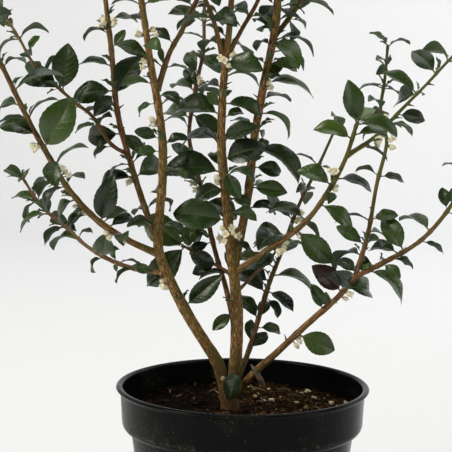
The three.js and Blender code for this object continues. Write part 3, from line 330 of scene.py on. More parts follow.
class Path:
    """A stem's axis as a dense line through its route, by Catmull-Rom, with the length up to each point."""

    def __init__(self, route):
        knots = np.array(route, float)
        knots = np.vstack([2 * knots[0] - knots[1], knots, 2 * knots[-1] - knots[-2]])
        points = []
        for before, start, end, after in zip(knots, knots[1:], knots[2:], knots[3:]):
            leave, arrive = (end - before) / 2, (after - start) / 2
            for t in np.arange(SPAN_STEPS) / SPAN_STEPS:
                blend = start * (2 * t**3 - 3 * t**2 + 1) + leave * (t**3 - 2 * t**2 + t)
                points.append(blend + end * (3 * t**2 - 2 * t**3) + arrive * (t**3 - t**2))
        points.append(knots[-2])
        self.points = np.array(points)
        steps = np.sqrt((np.diff(self.points, axis=0) ** 2).sum(1))
        self.reached = np.concatenate([[0], np.cumsum(steps)])
        self.length = self.reached[-1]

    def point(self, distance):
        place = min(max(distance, 0), self.length)
        i = min(max(int(np.searchsorted(self.reached, place)), 1), len(self.points) - 1)
        share = (place - self.reached[i - 1]) / (self.reached[i] - self.reached[i - 1])
        return self.points[i - 1] + (self.points[i] - self.points[i - 1]) * share

    def tangent(self, distance):
        return unit(self.point(distance + TANGENT_REACH) - self.point(distance - TANGENT_REACH))


def across(tangent):
    """The directions across a stem: the first to the right, the second towards the viewer."""
    right = square_to(RIGHT, tangent)
    return right, cross(right, tangent)


def outward_at(tangent, bearing):
    right, near = across(tangent)
    return right * math.cos(bearing) + near * math.sin(bearing)


def radius_along(stem, distance):
    first, last = stem["radii"]
    return first + (last - first) * (max(distance, 0) / stem["path"].length) ** 0.8


def make_leaf(stem, distance, aim, length, form):
    """Where a leaf starts, which way it points, and its form, from its place on the stem."""
    bearing, opening, front, roll = aim
    root, tangent = stem["path"].point(distance), stem["path"].tangent(distance)
    along = tangent * math.cos(opening) + outward_at(tangent, bearing) * math.sin(opening)
    light = np.array([*(unit(root[:2] - LIGHT_AXIS) * LIGHT_OUTWARD), LIGHT_UP])
    share = LEAF["towards_light"]
    upper = square_to(tangent, along) * (1 - share) + square_to(light, along) * share
    upper = unit(upper * (1 - front) + square_to(TO_VIEWER, along) * front)
    upper = turned(upper, along, roll)
    foot = root + along * (radius_along(stem, distance) + LEAF["stalk_length"])
    return {"root": root, "foot": foot, "along": along, "upper": upper, "side": cross(along, upper),
            "length": length, "distance": distance, **form}


def rib_at(leaf, share):
    """The midrib's point and upward direction at a share of the blade's length."""
    bend, length = leaf["bend"], leaf["length"]
    angle = bend * share
    point = leaf["foot"] + leaf["along"] * (length * math.sin(angle) / bend)
    point = point - leaf["upper"] * (length * (1 - math.cos(angle)) / bend)
    return point, leaf["upper"] * math.cos(angle) + leaf["along"] * math.sin(angle)


def half_width(leaf, share):
    return 0.5 * leaf["width"] * max(math.sin(math.pi * share**LEAF["widest"]), 0) ** 0.85


# Balls that stand for stems, leaves and flowers while leaves are bent clear of each other.
BALL_SPACING = 5
STEM_CLEARANCE = 1
LEAF_BALLS = [(0.2, -0.55), (0.2, 0.55), (0.5, -0.55), (0.5, 0.55), (0.8, -0.55), (0.8, 0.55), (0.98, 0)]
LEAF_BALL_SHARE = 0.46
TIP_BALL = 1.3
FLOWER_BALL = 2.4
SAME_SHOOT_EASE = 2
TRIES = [(turn, lean) for lean in (0, -14, 14, 28) for turn in (0, 22, -22, 44, -44, 66, -66)]
ACCEPTED = 0.05  # the deepest overlap of balls that counts as clear
DROPPED = 1.2  # a leaf that stays deeper than this doesn't grow
MOST_BALLS = 8000


class Balls:
    def __init__(self):
        self.count = 0
        self.centres = np.zeros((MOST_BALLS, 3))
        self.radii = np.zeros(MOST_BALLS)
        self.shoots = np.zeros(MOST_BALLS, int)
        self.stems = np.full(MOST_BALLS, -1)

    def add(self, centres, radii, stem, number=-1):
        here = slice(self.count, self.count + len(radii))
        self.centres[here], self.radii[here] = centres, radii
        self.shoots[here], self.stems[here] = SHOOTS.index(stem["shoot"]), number
        self.count = here.stop

    def deepest(self, centres, radii, stem):
        """How deep some balls sink into these, those of the same stem left out."""
        n = self.count
        apart = np.sqrt(((centres[:, None] - self.centres[None, :n]) ** 2).sum(2))
        ease = np.where(self.shoots[:n] == SHOOTS.index(stem["shoot"]), SAME_SHOOT_EASE, 0)
        depth = radii[:, None] + self.radii[:n] - ease - apart
        depth[:, self.stems[:n] == stem["number"]] = 0
        return max(depth.max(), 0)


def leaf_balls(leaf):
    centres, radii = [], []
    for share, aside in LEAF_BALLS:
        reach = half_width(leaf, share)
        centres.append(rib_at(leaf, share)[0] + leaf["side"] * (aside * reach))
        radii.append(TIP_BALL + (LEAF_BALL_SHARE * reach if aside else 0))
    return np.array(centres), np.array(radii)


def pair_places(stem, draw):
    """The places of a stem's pairs of leaves: those listed, then a rule up to its tip."""
    length, usual = stem["path"].length, (0, LEAF["open_angle"], 0)
    places = []
    for pair in stem.get("pairs", []):
        distance, bearing, first, second, opening, front = pair + usual[len(pair) - 3 :]
        places.append((distance, bearing + 16 * (draw() - 0.5), (first, second), opening, front))
    distance, gap, about, turn = stem.get("rule", (length, 0, 0, 0))
    while distance < length - 0.5 * gap:
        size = about * draw.spread(0.15)
        bearing = turn + 36 * (draw() - 0.5)
        places.append((distance, bearing, (size, size * draw.spread(0.15)), LEAF["open_angle"], 0))
        distance += gap * draw.spread(0.14)
        turn += 90
    if "tip" in stem:
        places.append((length - 1, turn, stem["tip"], LEAF["tip_angle"], 0))
    return places


def clear_leaf(stem, place, around, length, form, balls):
    """A leaf turned and leaned until it is clear of what has grown before it, and how deep it stays."""
    distance, opening, front, roll = place
    best, least = None, math.inf
    for turn, lean in TRIES:
        aim = (math.radians(around + turn), math.radians(opening + lean), front, roll)
        leaf = make_leaf(stem, distance, aim, length, form)
        depth = balls.deepest(*leaf_balls(leaf), stem)
        if depth < least - 1e-6:
            best, least = leaf, depth
        if least <= ACCEPTED:
            break
    return best, least


def grow_leaves(stem, draw, balls):
    leaves = []
    for distance, around, lengths, usual_open, facing in pair_places(stem, draw):
        for hand, usual in enumerate(lengths):
            if not usual:
                continue
            front = 0 if hand else facing
            length = usual * draw.spread(0.05)
            form = {
                "width": length * LEAF["width_share"] * draw.spread(0.16),
                "bend": LEAF["bend"] * (1 - LEAF["flatter"] * front) * draw.spread(0.4),
                "fold": LEAF["fold"] * draw.spread(0.5),
                "phase": draw(),
            }
            roll = math.radians((LEAF["front_roll"] if front else LEAF["roll"]) * (2 * draw() - 1))
            opening = usual_open + LEAF["open_jitter"] * (2 * draw() - 1)
            place = (distance, opening, front, roll)
            leaf, depth = clear_leaf(stem, place, around + 180 * hand, length, form, balls)
            if depth <= DROPPED:
                leaves.append(leaf)
                balls.add(*leaf_balls(leaf), stem)
    return leaves


def grow_cluster(stem, bloom, draw, balls):
    """Flowers and buds in the axils at one place on a stem."""
    distance, bearing, number = bloom
    tangent = stem["path"].tangent(distance)
    flowers = []
    for _ in range(number):
        outward = outward_at(tangent, math.radians(bearing) + 1.9 * (draw() - 0.5))
        lean = math.radians(70 + 60 * (draw() - 0.5))
        root = stem["path"].point(distance + 7 * (draw() - 0.5))
        reach = radius_along(stem, distance) + FLOWER["reach"] * draw.spread(0.35)
        along = tangent * math.cos(lean) + outward * math.sin(lean)
        is_open = draw() < FLOWER["open_share"]
        size, turn = draw.spread(0.15), draw()
        ball = (root + along * (reach + 0.5 * FLOWER["length"]))[None], np.array([FLOWER_BALL])
        if balls.deepest(*ball, stem) <= ACCEPTED:
            flowers.append({
                "root": root, "along": along, "reach": reach, "open": is_open, "size": size, "turn": turn,
            })
            balls.add(*ball, stem)
    return flowers


def grow_plant():
    """Every stem with its flowers and leaves, set clear of each other."""
    draw, balls = Draws(PLANT_SEED), Balls()
    stems = [{**row, "number": i, "path": Path(row["route"])} for i, row in enumerate(STEMS)]
    for stem in stems:
        places = np.arange(0, stem["path"].length, BALL_SPACING)
        centres = np.array([stem["path"].point(d) for d in places])
        radii = np.array([radius_along(stem, d) + STEM_CLEARANCE for d in places])
        balls.add(centres, radii, stem, stem["number"])
    for stem in stems:
        blooms = stem.get("blooms", [])
        stem["flowers"] = [flower for bloom in blooms for flower in grow_cluster(stem, bloom, draw, balls)]
        stem["leaves"] = grow_leaves(stem, draw, balls)
    return stems


# Meshes. A Shape gathers vertices, faces, each face's material number and three numbers for each vertex.
class Shape:
    def __init__(self):
        self.points, self.faces, self.slots, self.notes, self.count = [], [], [], [], 0

    def add(self, points, faces, slot=0, notes=(0, 0, 0)):
        """notes are three numbers for each vertex, or one set for them all, which the material reads."""
        points = np.asarray(points, float)
        self.points.append(points)
        self.faces.extend([tuple(i + self.count for i in face) for face in faces])
        self.slots.extend([slot] * len(faces) if isinstance(slot, int) else slot)
        self.notes.append(np.broadcast_to(np.asarray(notes, float), points.shape))
        self.count += len(points)

    def make(self, name, materials, sharp_angle=50):
        """A piece of what was gathered. Leaf tips up to 1 mm outside the solids' box are pulled in."""
        used = np.unique(np.concatenate([np.array(face) for face in self.faces]))
        place = np.zeros(self.count, int)
        place[used] = np.arange(len(used))
        mesh = bpy.data.meshes.new(name)
        points = np.clip(np.concatenate(self.points)[used] * MM, *cad_bounds)
        mesh.from_pydata(points.tolist(), [], [tuple(place[list(face)].tolist()) for face in self.faces])
        for material in materials:
            mesh.materials.append(material)
        mesh.polygons.foreach_set("material_index", np.array(self.slots, np.int32))
        mesh.polygons.foreach_set("use_smooth", np.ones(len(self.faces), bool))
        note = mesh.attributes.new("note", "FLOAT_VECTOR", "POINT")
        note.data.foreach_set("vector", np.concatenate(self.notes)[used].ravel().astype(np.float32))
        mesh.set_sharp_from_angle(angle=math.radians(sharp_angle))
        piece = bpy.data.objects.new(name, mesh)
        bpy.context.scene.collection.objects.link(piece)
        return piece


def grid_faces(rows, columns, closed=False):
    """Quads between rows of vertices, each row closed into a ring or not."""
    faces = []
    for row in range(rows - 1):
        for column in range(columns if closed else columns - 1):
            after = (column + 1) % columns
            a, b = row * columns + column, row * columns + after
            faces.append((a, b, b + columns, a + columns))
    return faces


def closed_faces(rings, sides):
    """The faces of a closed tube of rings that run clockwise, seen against its direction."""
    faces = [face[::-1] for face in grid_faces(rings, sides, closed=True)]
    last = (rings - 1) * sides
    return [*faces, tuple(range(sides)), tuple(range(last, last + sides))[::-1]]


def ring(right, near, wide, deep, sides, turn=0):
    """An oval of points round the origin, wide along right and deep along near."""
    angles = np.arange(sides) / sides * TURN + turn * TURN
    return np.outer(np.cos(angles) * wide, right) + np.outer(np.sin(angles) * deep, near)


def tube(centres, radii, sides):
    """A closed tube along a line of points: its vertices and faces."""
    centres = np.asarray(centres, float)
    first = unit(centres[1] - centres[0])
    right = RIGHT if abs(first[0]) < 0.8 else UP
    rings = []
    for i, (centre, radius) in enumerate(zip(centres, radii)):
        tangent = unit(centres[min(i + 1, len(centres) - 1)] - centres[max(i - 1, 0)])
        right = square_to(right, tangent)
        rings.append(centre + ring(right, cross(right, tangent), radius, radius, sides))
    return np.concatenate(rings), closed_faces(len(rings), sides)


# Stems, with a swelling at each pair of leaves, a collar at each fork and a slightly lumpy bark.
STEM_SPACING = 2.2
STEM_SIDES = (10, 16)
THICK_STEM = 2.4
OLD_WOOD_RADIUS = 3.4
NODE_SWELL = 0.2
NODE_LENGTH = 1.8
NODE_THICKEST = 1.5  # on stems above this radius the swelling keeps its height
COLLAR = 0.3
COLLAR_LENGTH = 5
SPUR = {"length": 5, "radius": 0.9, "lean": 0.6, "hook": 0.5}
SPUR_FORM = [(0, 1.2), (0.3, 1), (0.5, 0.7), (0.7, 0.5), (0.88, 0.3), (1, 0.06)]
BUD = {"start": 0.75, "upward": 1.3}
BUD_FORM = [(0, 0.55), (0.25, 0.85), (0.5, 0.8), (0.75, 0.55), (0.92, 0.28), (1, 0.04)]


def stem_radius(stem, distance, angle):
    radius = radius_along(stem, distance)
    swell = sum(math.exp(-(((distance - place) / NODE_LENGTH) ** 2)) for place in stem["nodes"])
    swell = NODE_SWELL * min(swell, 1) * min(NODE_THICKEST / radius, 1)
    collar = COLLAR * math.exp(-distance / COLLAR_LENGTH)
    lump = 0.035 * math.sin(2 * angle + 0.11 * distance + stem["number"])
    lump += 0.03 * math.sin(3 * angle - 0.23 * distance) * math.sin(0.31 * distance + stem["number"])
    return radius * (1 + swell + collar + lump)


def add_stem(shape, stem):
    """A stem. Its notes are how far right of the axis, the distance along it, and how young the wood is."""
    path = stem["path"]
    sides = STEM_SIDES[stem["radii"][0] > THICK_STEM]
    steps = int(path.length / STEM_SPACING)
    points, notes = [], []
    for step in range(steps + 1):
        distance = path.length * step / steps
        centre = path.point(distance)
        right, near = across(path.tangent(distance))
        youth = 1 - min(radius_along(stem, distance) / OLD_WOOD_RADIUS, 1)
        for side in range(sides):
            angle = side / sides * TURN
            radius = stem_radius(stem, distance, angle)
            points.append(centre + right * (radius * math.cos(angle)) + near * (radius * math.sin(angle)))
            notes.append((math.cos(angle) * radius, distance, youth))
    shape.add(points, closed_faces(steps + 1, sides), 0, notes)


def add_spur(shape, stem, spur):
    """A dead spur, a slightly hooked thorn."""
    distance, bearing = spur
    tangent = stem["path"].tangent(distance)
    along = unit(outward_at(tangent, math.radians(bearing)) + tangent * SPUR["lean"])
    reach = radius_along(stem, distance) + SPUR["length"]
    shares, radii = np.array(SPUR_FORM).T
    centres = stem["path"].point(distance) + np.outer(shares * reach, along)
    shape.add(*tube(centres - np.outer(shares**2 * SPUR["hook"], tangent), SPUR["radius"] * radii, 7), 1)


def add_bud(shape, leaf, stem, draw):
    """The small scaly bud in a leaf's axil."""
    along = unit(leaf["along"] + stem["path"].tangent(leaf["distance"]) * BUD["upward"])
    start = radius_along(stem, leaf["distance"]) * BUD["start"]
    length = 1.6 + 1.1 * draw()
    shares, radii = np.array(BUD_FORM).T
    centres = leaf["root"] + np.outer(start + shares * length, along)
    shape.add(*tube(centres, radii * (0.75 + 0.3 * draw()), 6), 2)


# Leaves. Each blade has an upper and a lower skin that meet at the toothed edge.
OLD_LEAVES = (16, 120)  # the stem's number and the distance on it: its left leaf there is purple-brown
OLD_TINT = 2
ACROSS = np.array([-1, -0.74, -0.42, -0.11, 0, 0.11, 0.42, 0.74, 1])
LEAF_STATIONS = 19
BLADE = {
    "half_thickness": 0.24, "tooth": 0.035, "toothed": (0.12, 0.93), "foot": 0.1, "foot_half_width": 0.75,
    "midrib": 0.3, "midrib_half_width": 0.11, "midrib_groove": 0.4, "fold_curve": 0.4,
}
STALK_RADIUS = 0.55
STALK_FORM = [1.35, 1.2, 0.95, 0.95, 0.75, 0.3]
STALK_PLACES = (0, 0.35, 0.7, 1)  # shares of the stalk, and then shares of the blade and the depth below it
STALK_UNDER_BLADE = [(0.05, 0.15), (0.12, 0.2)]
STALK_FULL_LEAF = 22  # a leaf this long has a stalk of the full radius
YOUNG_SHARE = 0.45
LEAST_WITH_YOUNG = 13


def without_repeats(face):
    return tuple(i for k, i in enumerate(face) if i != face[k - 1])


def blade_faces():
    """The faces of a blade's two skins, the upper ones first."""
    rows, columns = LEAF_STATIONS, len(ACROSS)
    size = rows * columns
    upper = grid_faces(rows, columns)
    on_edge = {row * columns + column for row in range(rows) for column in (0, columns - 1)}
    on_edge |= set(range(size - columns, size))
    tip = size - columns + columns // 2
    lower = [tuple(i if i in on_edge else i + size for i in face[::-1]) for face in upper]

    def to_tip(face):
        return without_repeats([tip if size - columns <= i < size else i for i in face])

    base = tuple(range(columns))[::-1]
    under = tuple(i if i in on_edge else i + size for i in range(columns))
    foot = [(base[k], base[k + 1], under[-k - 2], under[-k - 1]) for k in range(columns - 1)]
    return [to_tip(face) for face in upper], [*map(to_tip, lower), *map(without_repeats, foot)]


UPPER_FACES, LOWER_FACES = blade_faces()


def blade_row(leaf, number):
    """The points of a blade's upper and lower skins at one of its stations."""
    share, out = number / (LEAF_STATIONS - 1), np.abs(ACROSS)
    point, up = rib_at(leaf, share)
    reach, fold = half_width(leaf, share), leaf["fold"]
    first, last = BLADE["toothed"]
    tooth = 1 + (BLADE["tooth"] if number % 2 and first < share < last else 0) * (out == 1)
    spread = np.maximum(out * reach * tooth, out * BLADE["foot_half_width"] * (share < BLADE["foot"]))
    lift = out * reach * math.sin(fold) * (1 + BLADE["fold_curve"] - BLADE["fold_curve"] * ACROSS**2)
    wave = LEAF["wave"] * math.sin(TURN * (2 * share + leaf["phase"]))
    lift = lift + wave * np.sign(ACROSS) * ACROSS**2
    middle = point + np.outer(np.sign(ACROSS) * spread * math.cos(fold), leaf["side"])
    half = BLADE["half_thickness"] * np.sqrt(1 - ACROSS**2) * (1 - share**6)
    rib = BLADE["midrib"] * np.maximum(1 - out / BLADE["midrib_half_width"], 0) * (1 - share)
    upper = middle + np.outer(lift + half - BLADE["midrib_groove"] * rib, up)
    return upper, middle + np.outer(lift - half - rib, up)


def add_leaf(shape, leaf, tint):
    """A leaf. Its notes are the share of its length, the share of its half width, and its tint."""
    skins = np.array([blade_row(leaf, number) for number in range(LEAF_STATIONS)])
    points = np.concatenate([skins[:, 0].reshape(-1, 3), skins[:, 1].reshape(-1, 3)])
    shares = np.repeat(np.linspace(0, 1, LEAF_STATIONS), len(ACROSS))
    notes = np.stack([shares, np.tile(ACROSS, LEAF_STATIONS), np.full(len(shares), tint)], 1)
    slots = [0] * len(UPPER_FACES) + [1] * len(LOWER_FACES)
    shape.add(points, UPPER_FACES + LOWER_FACES, slots, np.concatenate([notes, notes]))
    centres = [leaf["root"] + (leaf["foot"] - leaf["root"]) * share for share in STALK_PLACES]
    centres += [rib_at(leaf, share)[0] - leaf["upper"] * depth for share, depth in STALK_UNDER_BLADE]
    radii = STALK_RADIUS * np.array(STALK_FORM) * min(leaf["length"] / STALK_FULL_LEAF, 1.15)
    shape.add(*tube(centres, radii, 7), 2, (0, 0, tint))


def small_leaves(stem, leaf, draw):
    """The little young leaves in some axils, but not where they would point at the viewer."""
    found = []
    if draw() > YOUNG_SHARE or leaf["length"] < LEAST_WITH_YOUNG or leaf["along"] @ TO_VIEWER > 0.5:
        return found
    right, near = across(stem["path"].tangent(leaf["distance"]))
    bearing = math.atan2(leaf["along"] @ near, leaf["along"] @ right)
    for hand in (-1, 1):
        length = 6 + 5 * draw()
        form = {"width": length * (0.42 + 0.1 * draw()), "bend": 0.5 + 0.6 * draw(), "fold": 0.35,
                "phase": draw()}
        opening = math.radians(30 + 22 * draw())
        aim = (bearing + hand * (0.6 + 0.5 * draw()), opening, 0, 0.6 * (draw() - 0.5))
        found.append(make_leaf(stem, leaf["distance"] + 0.8, aim, length, form))
    return found


# Flowers: a green cup on a short stalk, and a cream bell of four lobes or a closed bud. Each form is rings
# of (distance, radius), or (distance, radius, depth of its lobes), in shares of the flower's size, but the
# cup in millimetres.
STALK_INSET = 0.8
FLOWER_STALK = [(0, 0.42), (0.5, 0.36), (1, 0.45)]
CUP = [(-0.2, 0.4), (0.3, 0.95), (1.1, 1.2, 0.12), (1.5, 1.25, 0.3)]
BELL = [(-0.1, 0.8), (0.2, 1.05), (0.45, 1.08), (0.58, 0.85), (0.56, 0.5)]
STAMENS = [(0.4, 0.5), (0.6, 0.6), (0.72, 0.45), (0.78, 0.12)]
CLOSED = [(-0.12, 0.6), (0.2, 0.9, 0.04), (0.42, 1, 0.07), (0.65, 0.85, 0.1), (0.85, 0.5, 0.1), (1, 0.04)]
PETALS = 4
PETAL = {"start": 0.5, "inner": 1, "length": 2.4, "half_width": 1.3, "lean": 0.35, "bend": 1.2, "sides": 8}
PETAL_FORM = [(0, 0.55, 0.2), (0.2, 0.85, 0.3), (0.45, 1, 0.34), (0.7, 0.95, 0.32), (0.9, 0.62, 0.24),
              (1, 0.2, 0.1)]  # share of the length, share of the half width, half thickness


def revolve(flower, form, start, long, wide, sides):
    """A form's rings round a flower's axis, from start on, scaled along and across it."""
    waves = np.cos(PETALS * np.arange(sides) / sides * TURN)
    rings = []
    for share, radius, *lobes in form:
        radii = wide * radius * (1 + (lobes[0] if lobes else 0) * waves)
        oval = ring(*across(flower["along"]), radii, radii, sides, flower["turn"])
        rings.append(flower["root"] + flower["along"] * (start + share * long) + oval)
    return np.concatenate(rings), closed_faces(len(rings), sides)


def add_petal(shape, flower, angle):
    """One thick, rounded lobe that bends outward from the bell's mouth."""
    along, size, sides = flower["along"], flower["size"], PETAL["sides"]
    out = outward_at(along, angle)
    aside = cross(along, out)
    start = flower["root"] + along * (flower["reach"] + PETAL["start"] * FLOWER["length"] * size)
    start = start + out * (PETAL["inner"] * size)
    first, bend, length = PETAL["lean"], PETAL["bend"], PETAL["length"] * size
    rings = []
    for share, width, thickness in PETAL_FORM:
        lean = first + bend * share
        ahead = along * (math.sin(lean) - math.sin(first)) + out * (math.cos(first) - math.cos(lean))
        normal = out * math.cos(lean) - along * math.sin(lean)
        oval = ring(aside, normal, PETAL["half_width"] * size * width, thickness, sides)
        rings.append(start + ahead * (length / bend) + oval)
    shape.add(np.concatenate(rings), closed_faces(len(rings), sides), 0)


def add_flower(shape, flower):
    size, reach = flower["size"], flower["reach"]
    length, stalk = FLOWER["length"] * size, reach - STALK_INSET
    shares, radii = np.array(FLOWER_STALK).T
    shape.add(*tube([flower["root"] + flower["along"] * (stalk * share) for share in shares], radii, 6), 1)
    shape.add(*revolve(flower, CUP, stalk, 1, 1, 8), 1)
    if flower["open"]:
        shape.add(*revolve(flower, BELL, reach, length, FLOWER["tube"] * size, 12), 0)
        for petal in range(PETALS):
            add_petal(shape, flower, (petal / PETALS + flower["turn"]) * TURN)
        shape.add(*revolve(flower, STAMENS, reach, length, 1, 6), 2)
    else:
        shape.add(*revolve(flower, CLOSED, reach, length, FLOWER["bud_radius"] * size, 12), 0)


# A shoot. Its last leaves are younger, and so paler.
YOUNG_END = 25


def make_shoot(name, stems, materials, draw):
    """A shoot's wood, its leaves and its flowers, which stand for its solid."""
    wood, foliage, bloom = Shape(), Shape(), Shape()
    for stem in stems:
        stem["nodes"] = sorted({leaf["distance"] for leaf in stem["leaves"]})
        add_stem(wood, stem)
        for spur in stem.get("spurs", []):
            add_spur(wood, stem, spur)
        for leaf in stem["leaves"]:
            young = 0.35 if leaf["distance"] > stem["path"].length - YOUNG_END else 0
            tint = min(0.65 * draw() + young, 1)
            is_old = (stem["number"], leaf["distance"]) == OLD_LEAVES and leaf["along"][0] < 0
            add_leaf(foliage, leaf, OLD_TINT if is_old else tint)
            add_bud(wood, leaf, stem, draw)
            for small in small_leaves(stem, leaf, draw):
                add_leaf(foliage, small, 0.55 + 0.45 * draw())
        for flower in stem["flowers"]:
            add_flower(bloom, flower)
    shapes = (("wood", wood, "bark"), ("leaves", foliage, "leaf"), ("flowers", bloom, "flower"))
    for part, shape, slot in shapes:
        if shape.count:
            piece = shape.make(f"{name}_{part}", materials[part])
            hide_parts(name)
            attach(piece, "root")


# The pot.
def fillet(profile, index, radius, steps=4):
    """An arc in place of a profile's corner."""
    before, corner, after = (np.array(profile[index + i], float) for i in (-1, 0, 1))
    back, ahead = unit(before - corner), unit(after - corner)
    reach = min(radius, 0.45 * np.linalg.norm(before - corner), 0.45 * np.linalg.norm(after - corner))
    start, end = corner + back * reach, corner + ahead * reach
    shares = np.linspace(0, 1, steps + 1)[:, None]
    return list((1 - shares) ** 2 * start + 2 * shares * (1 - shares) * corner + shares**2 * end)


def pot_inside():
    p = POT
    return [
        (p["band_top_radius"] - p["wall"] - 0.2, p["height"] - 0.8),
        (p["band_bottom_radius"] - p["wall"], p["band_bottom"] + 1),
        (p["wall_top_radius"] - p["wall"], p["band_bottom"] - p["band_corner"]),
        (p["base_radius"] - p["wall"], p["floor"] + p["inner_corner"]),
        (p["base_radius"] - p["wall"] - p["inner_corner"], p["floor"]),
    ]


def pot_profile():
    """The pot's section, from the axis underneath, up the outside and down the inside."""
    p = POT
    lip, top, thickness = p["lip_radius"], p["height"], p["lip_thickness"]
    shoulder_in, shoulder_down = p["lip_shoulder"]
    step = p["band_bottom_radius"] - p["wall_top_radius"]
    band = [
        (p["wall_top_radius"] + step * math.sin(a), p["band_bottom"] - p["band_corner"] * math.cos(a))
        for a in np.linspace(0, math.pi / 2, 9)
    ]
    sharp = [
        (0, 0), (p["base_radius"] - p["foot_chamfer"], 0), (p["base_radius"], p["foot_chamfer"]), *band,
        (p["band_top_radius"], top - thickness - p["lip_tuck"]), (lip - p["lip_under"], top - thickness),
        (lip, top - thickness / 2), (lip - shoulder_in, top - shoulder_down), (lip - p["lip_flat"], top),
        *pot_inside(), (0, p["floor"]),
    ]
    rounded = [sharp[0]]
    for index in range(1, len(sharp) - 1):
        rounded += fillet(sharp, index, p["edge_rounding"])
    return rounded + [sharp[-1]]


def lathe(profile, segments):
    """A profile that starts on the axis underneath and ends on it on top, turned round it."""
    rings = [
        ring(RIGHT, -TO_VIEWER, radius, radius, segments) + UP * height
        for radius, height in profile[1:-1]
    ]
    count = len(rings) * segments
    faces = grid_faces(len(rings), segments, closed=True)
    for side in range(segments):
        after = (side + 1) % segments
        faces.append((count, after, side))
        faces.append((count + 1, count - segments + side, count - segments + after))
    return np.concatenate([*rings, [UP * profile[0][1], UP * profile[-1][1]]]), faces


def level(angle):
    """The level direction at an angle round the pot, from the right."""
    return np.array([math.cos(angle), math.sin(angle), 0])


def drain_cutter():
    """A peg for each drainage hole, and a block for the groove that runs out from it."""
    shape = Shape()
    box = [(3, 2, 1, 0), (4, 5, 6, 7), (0, 1, 5, 4), (1, 2, 6, 5), (2, 3, 7, 6), (3, 0, 4, 7)]
    long = (DRAIN_GROOVE["outer"] - DRAIN["ring"]) / 2
    wide, deep = DRAIN_GROOVE["width"] / 2, DRAIN_GROOVE["depth"]
    for number in range(DRAIN["count"]):
        angle = (number + 0.5) / DRAIN["count"] * TURN
        out, aside = level(angle), level(angle + TURN / 4)
        centre, middle = out * DRAIN["ring"], out * (DRAIN["ring"] + DRAIN_GROOVE["outer"]) / 2
        shape.add(*tube([centre - UP * 5, centre + UP * 5], [DRAIN["radius"]] * 2, DRAIN["sides"]))
        corners = [
            middle + out * (long * i) + aside * (wide * j) + UP * (deep * k)
            for k in (-1, 1) for i, j in ((-1, -1), (1, -1), (1, 1), (-1, 1))
        ]
        shape.add(corners, box)
    return shape.make("drain_cutter", [])


def make_pot(material):
    shape = Shape()
    shape.add(*lathe(pot_profile(), POT["segments"]))
    pot, tool = shape.make("nursery_pot", [material], 35), drain_cutter()
    boolean = pot.modifiers.new("drains", "BOOLEAN")
    boolean.object, boolean.operation, boolean.solver, boolean.use_self = tool, "DIFFERENCE", "EXACT", True
    graph = bpy.context.evaluated_depsgraph_get()
    mesh = bpy.data.meshes.new_from_object(pot.evaluated_get(graph), depsgraph=graph)
    pot.modifiers.clear()
    pot.data = mesh
    bpy.data.objects.remove(tool)
    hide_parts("pot")
    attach(pot, "root")


# The soil, with bark chips, crumbs and twigs on it.
def soil_height(x, y):
    broad = math.sin(0.085 * x + 0.6) * math.cos(0.1 * y - 0.4)
    fine = math.sin(0.27 * x + 0.21 * y) * math.cos(0.31 * y - 0.18 * x)
    return SOIL["bump"] * (broad + 0.7 * fine)


def on_soil(x, y):
    """The point of the soil's lumpy top over a place."""
    lumps = sum(share * noise.noise(Vector((x / size, y / size, size))) for size, share in SOIL_LUMPS)
    return np.array([x, y, SOIL["top"] + soil_height(x, y) + SOIL["lump"] * lumps])


def soil_edge():
    return pot_inside()[1][0] - GAP


def make_soil(material):
    _, band, wall, foot, floor = pot_inside()
    edge, rings, top = soil_edge(), SOIL["rings"], SOIL["top"]
    low = [
        (0, floor[1] + GAP), (floor[0] - GAP, floor[1] + GAP), (foot[0] - GAP, foot[1] + GAP),
        (wall[0] - GAP, wall[1]), (edge, band[1] + GAP), (edge, top - SOIL["shoulder"]),
    ]
    upper = [(edge * (1 - (i + 0.3) / rings), top) for i in range(rings)]
    points, faces = lathe([*low, *upper, (0, top)], SOIL["segments"])
    for point in points:
        if point[2] > top - 0.5:
            point[2] = on_soil(point[0], point[1])[2]
    shape = Shape()
    shape.add(points, faces)
    soil = shape.make("potting_soil", [material], 60)
    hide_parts("soil")
    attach(soil, "root")


def rotation(tilt_y, tilt_x, turn_z):
    return Matrix.Rotation(turn_z, 3, "Z") @ Matrix.Rotation(tilt_x, 3, "X") @ Matrix.Rotation(tilt_y, 3, "Y")


def add_chip(shape, centre, sizes, turn, draw, shade):
    """A flake of bark: a flat block with broken, uneven corners. Its notes are its shade and its kind."""
    matrix, count = np.array(turn), len(FLAKE)
    points = []
    for k in (-0.5, 0.5):
        for i, j in FLAKE:
            points.append(centre + matrix @ (np.array([i, j, k]) * sizes * (0.8 + 0.4 * draw())))
    faces = [tuple(range(count))[::-1], tuple(range(count, 2 * count))]
    faces += [(i, (i + 1) % count, (i + 1) % count + count, i + count) for i in range(count)]
    shape.add(points, faces, 0, (shade, draw(), draw()))


def scattered(draw, least, most):
    """A place on the soil, at least so far from the plant's foot."""
    while True:
        angle, away = TURN * draw(), most * math.sqrt(draw())
        x, y = away * math.cos(angle), away * math.sin(angle)
        if math.hypot(x - PLANT_FOOT[0], y - PLANT_FOOT[1]) > least:
            return x, y


def add_large_chips(shape, draw):
    """The chips that the solid soil has too, with the solid's own draws for their places."""
    same = Draws(CHIPS["seed"])
    for _ in range(CHIPS["count"]):
        angle = TURN * same()
        away = CHIPS["inner_radius"] + (CHIPS["outer_radius"] - CHIPS["inner_radius"]) * math.sqrt(same())
        size = 0.6 + 0.7 * same()
        turn = rotation(0.5 * (same() - 0.5), 0.5 * (same() - 0.5), math.pi * same())
        x, y = away * math.cos(angle), away * math.sin(angle)
        centre = np.array([x, y, SOIL["top"] + soil_height(x, y) + 0.3])
        add_chip(shape, centre, np.array(CHIPS["sizes"]) * size, turn, draw, draw())


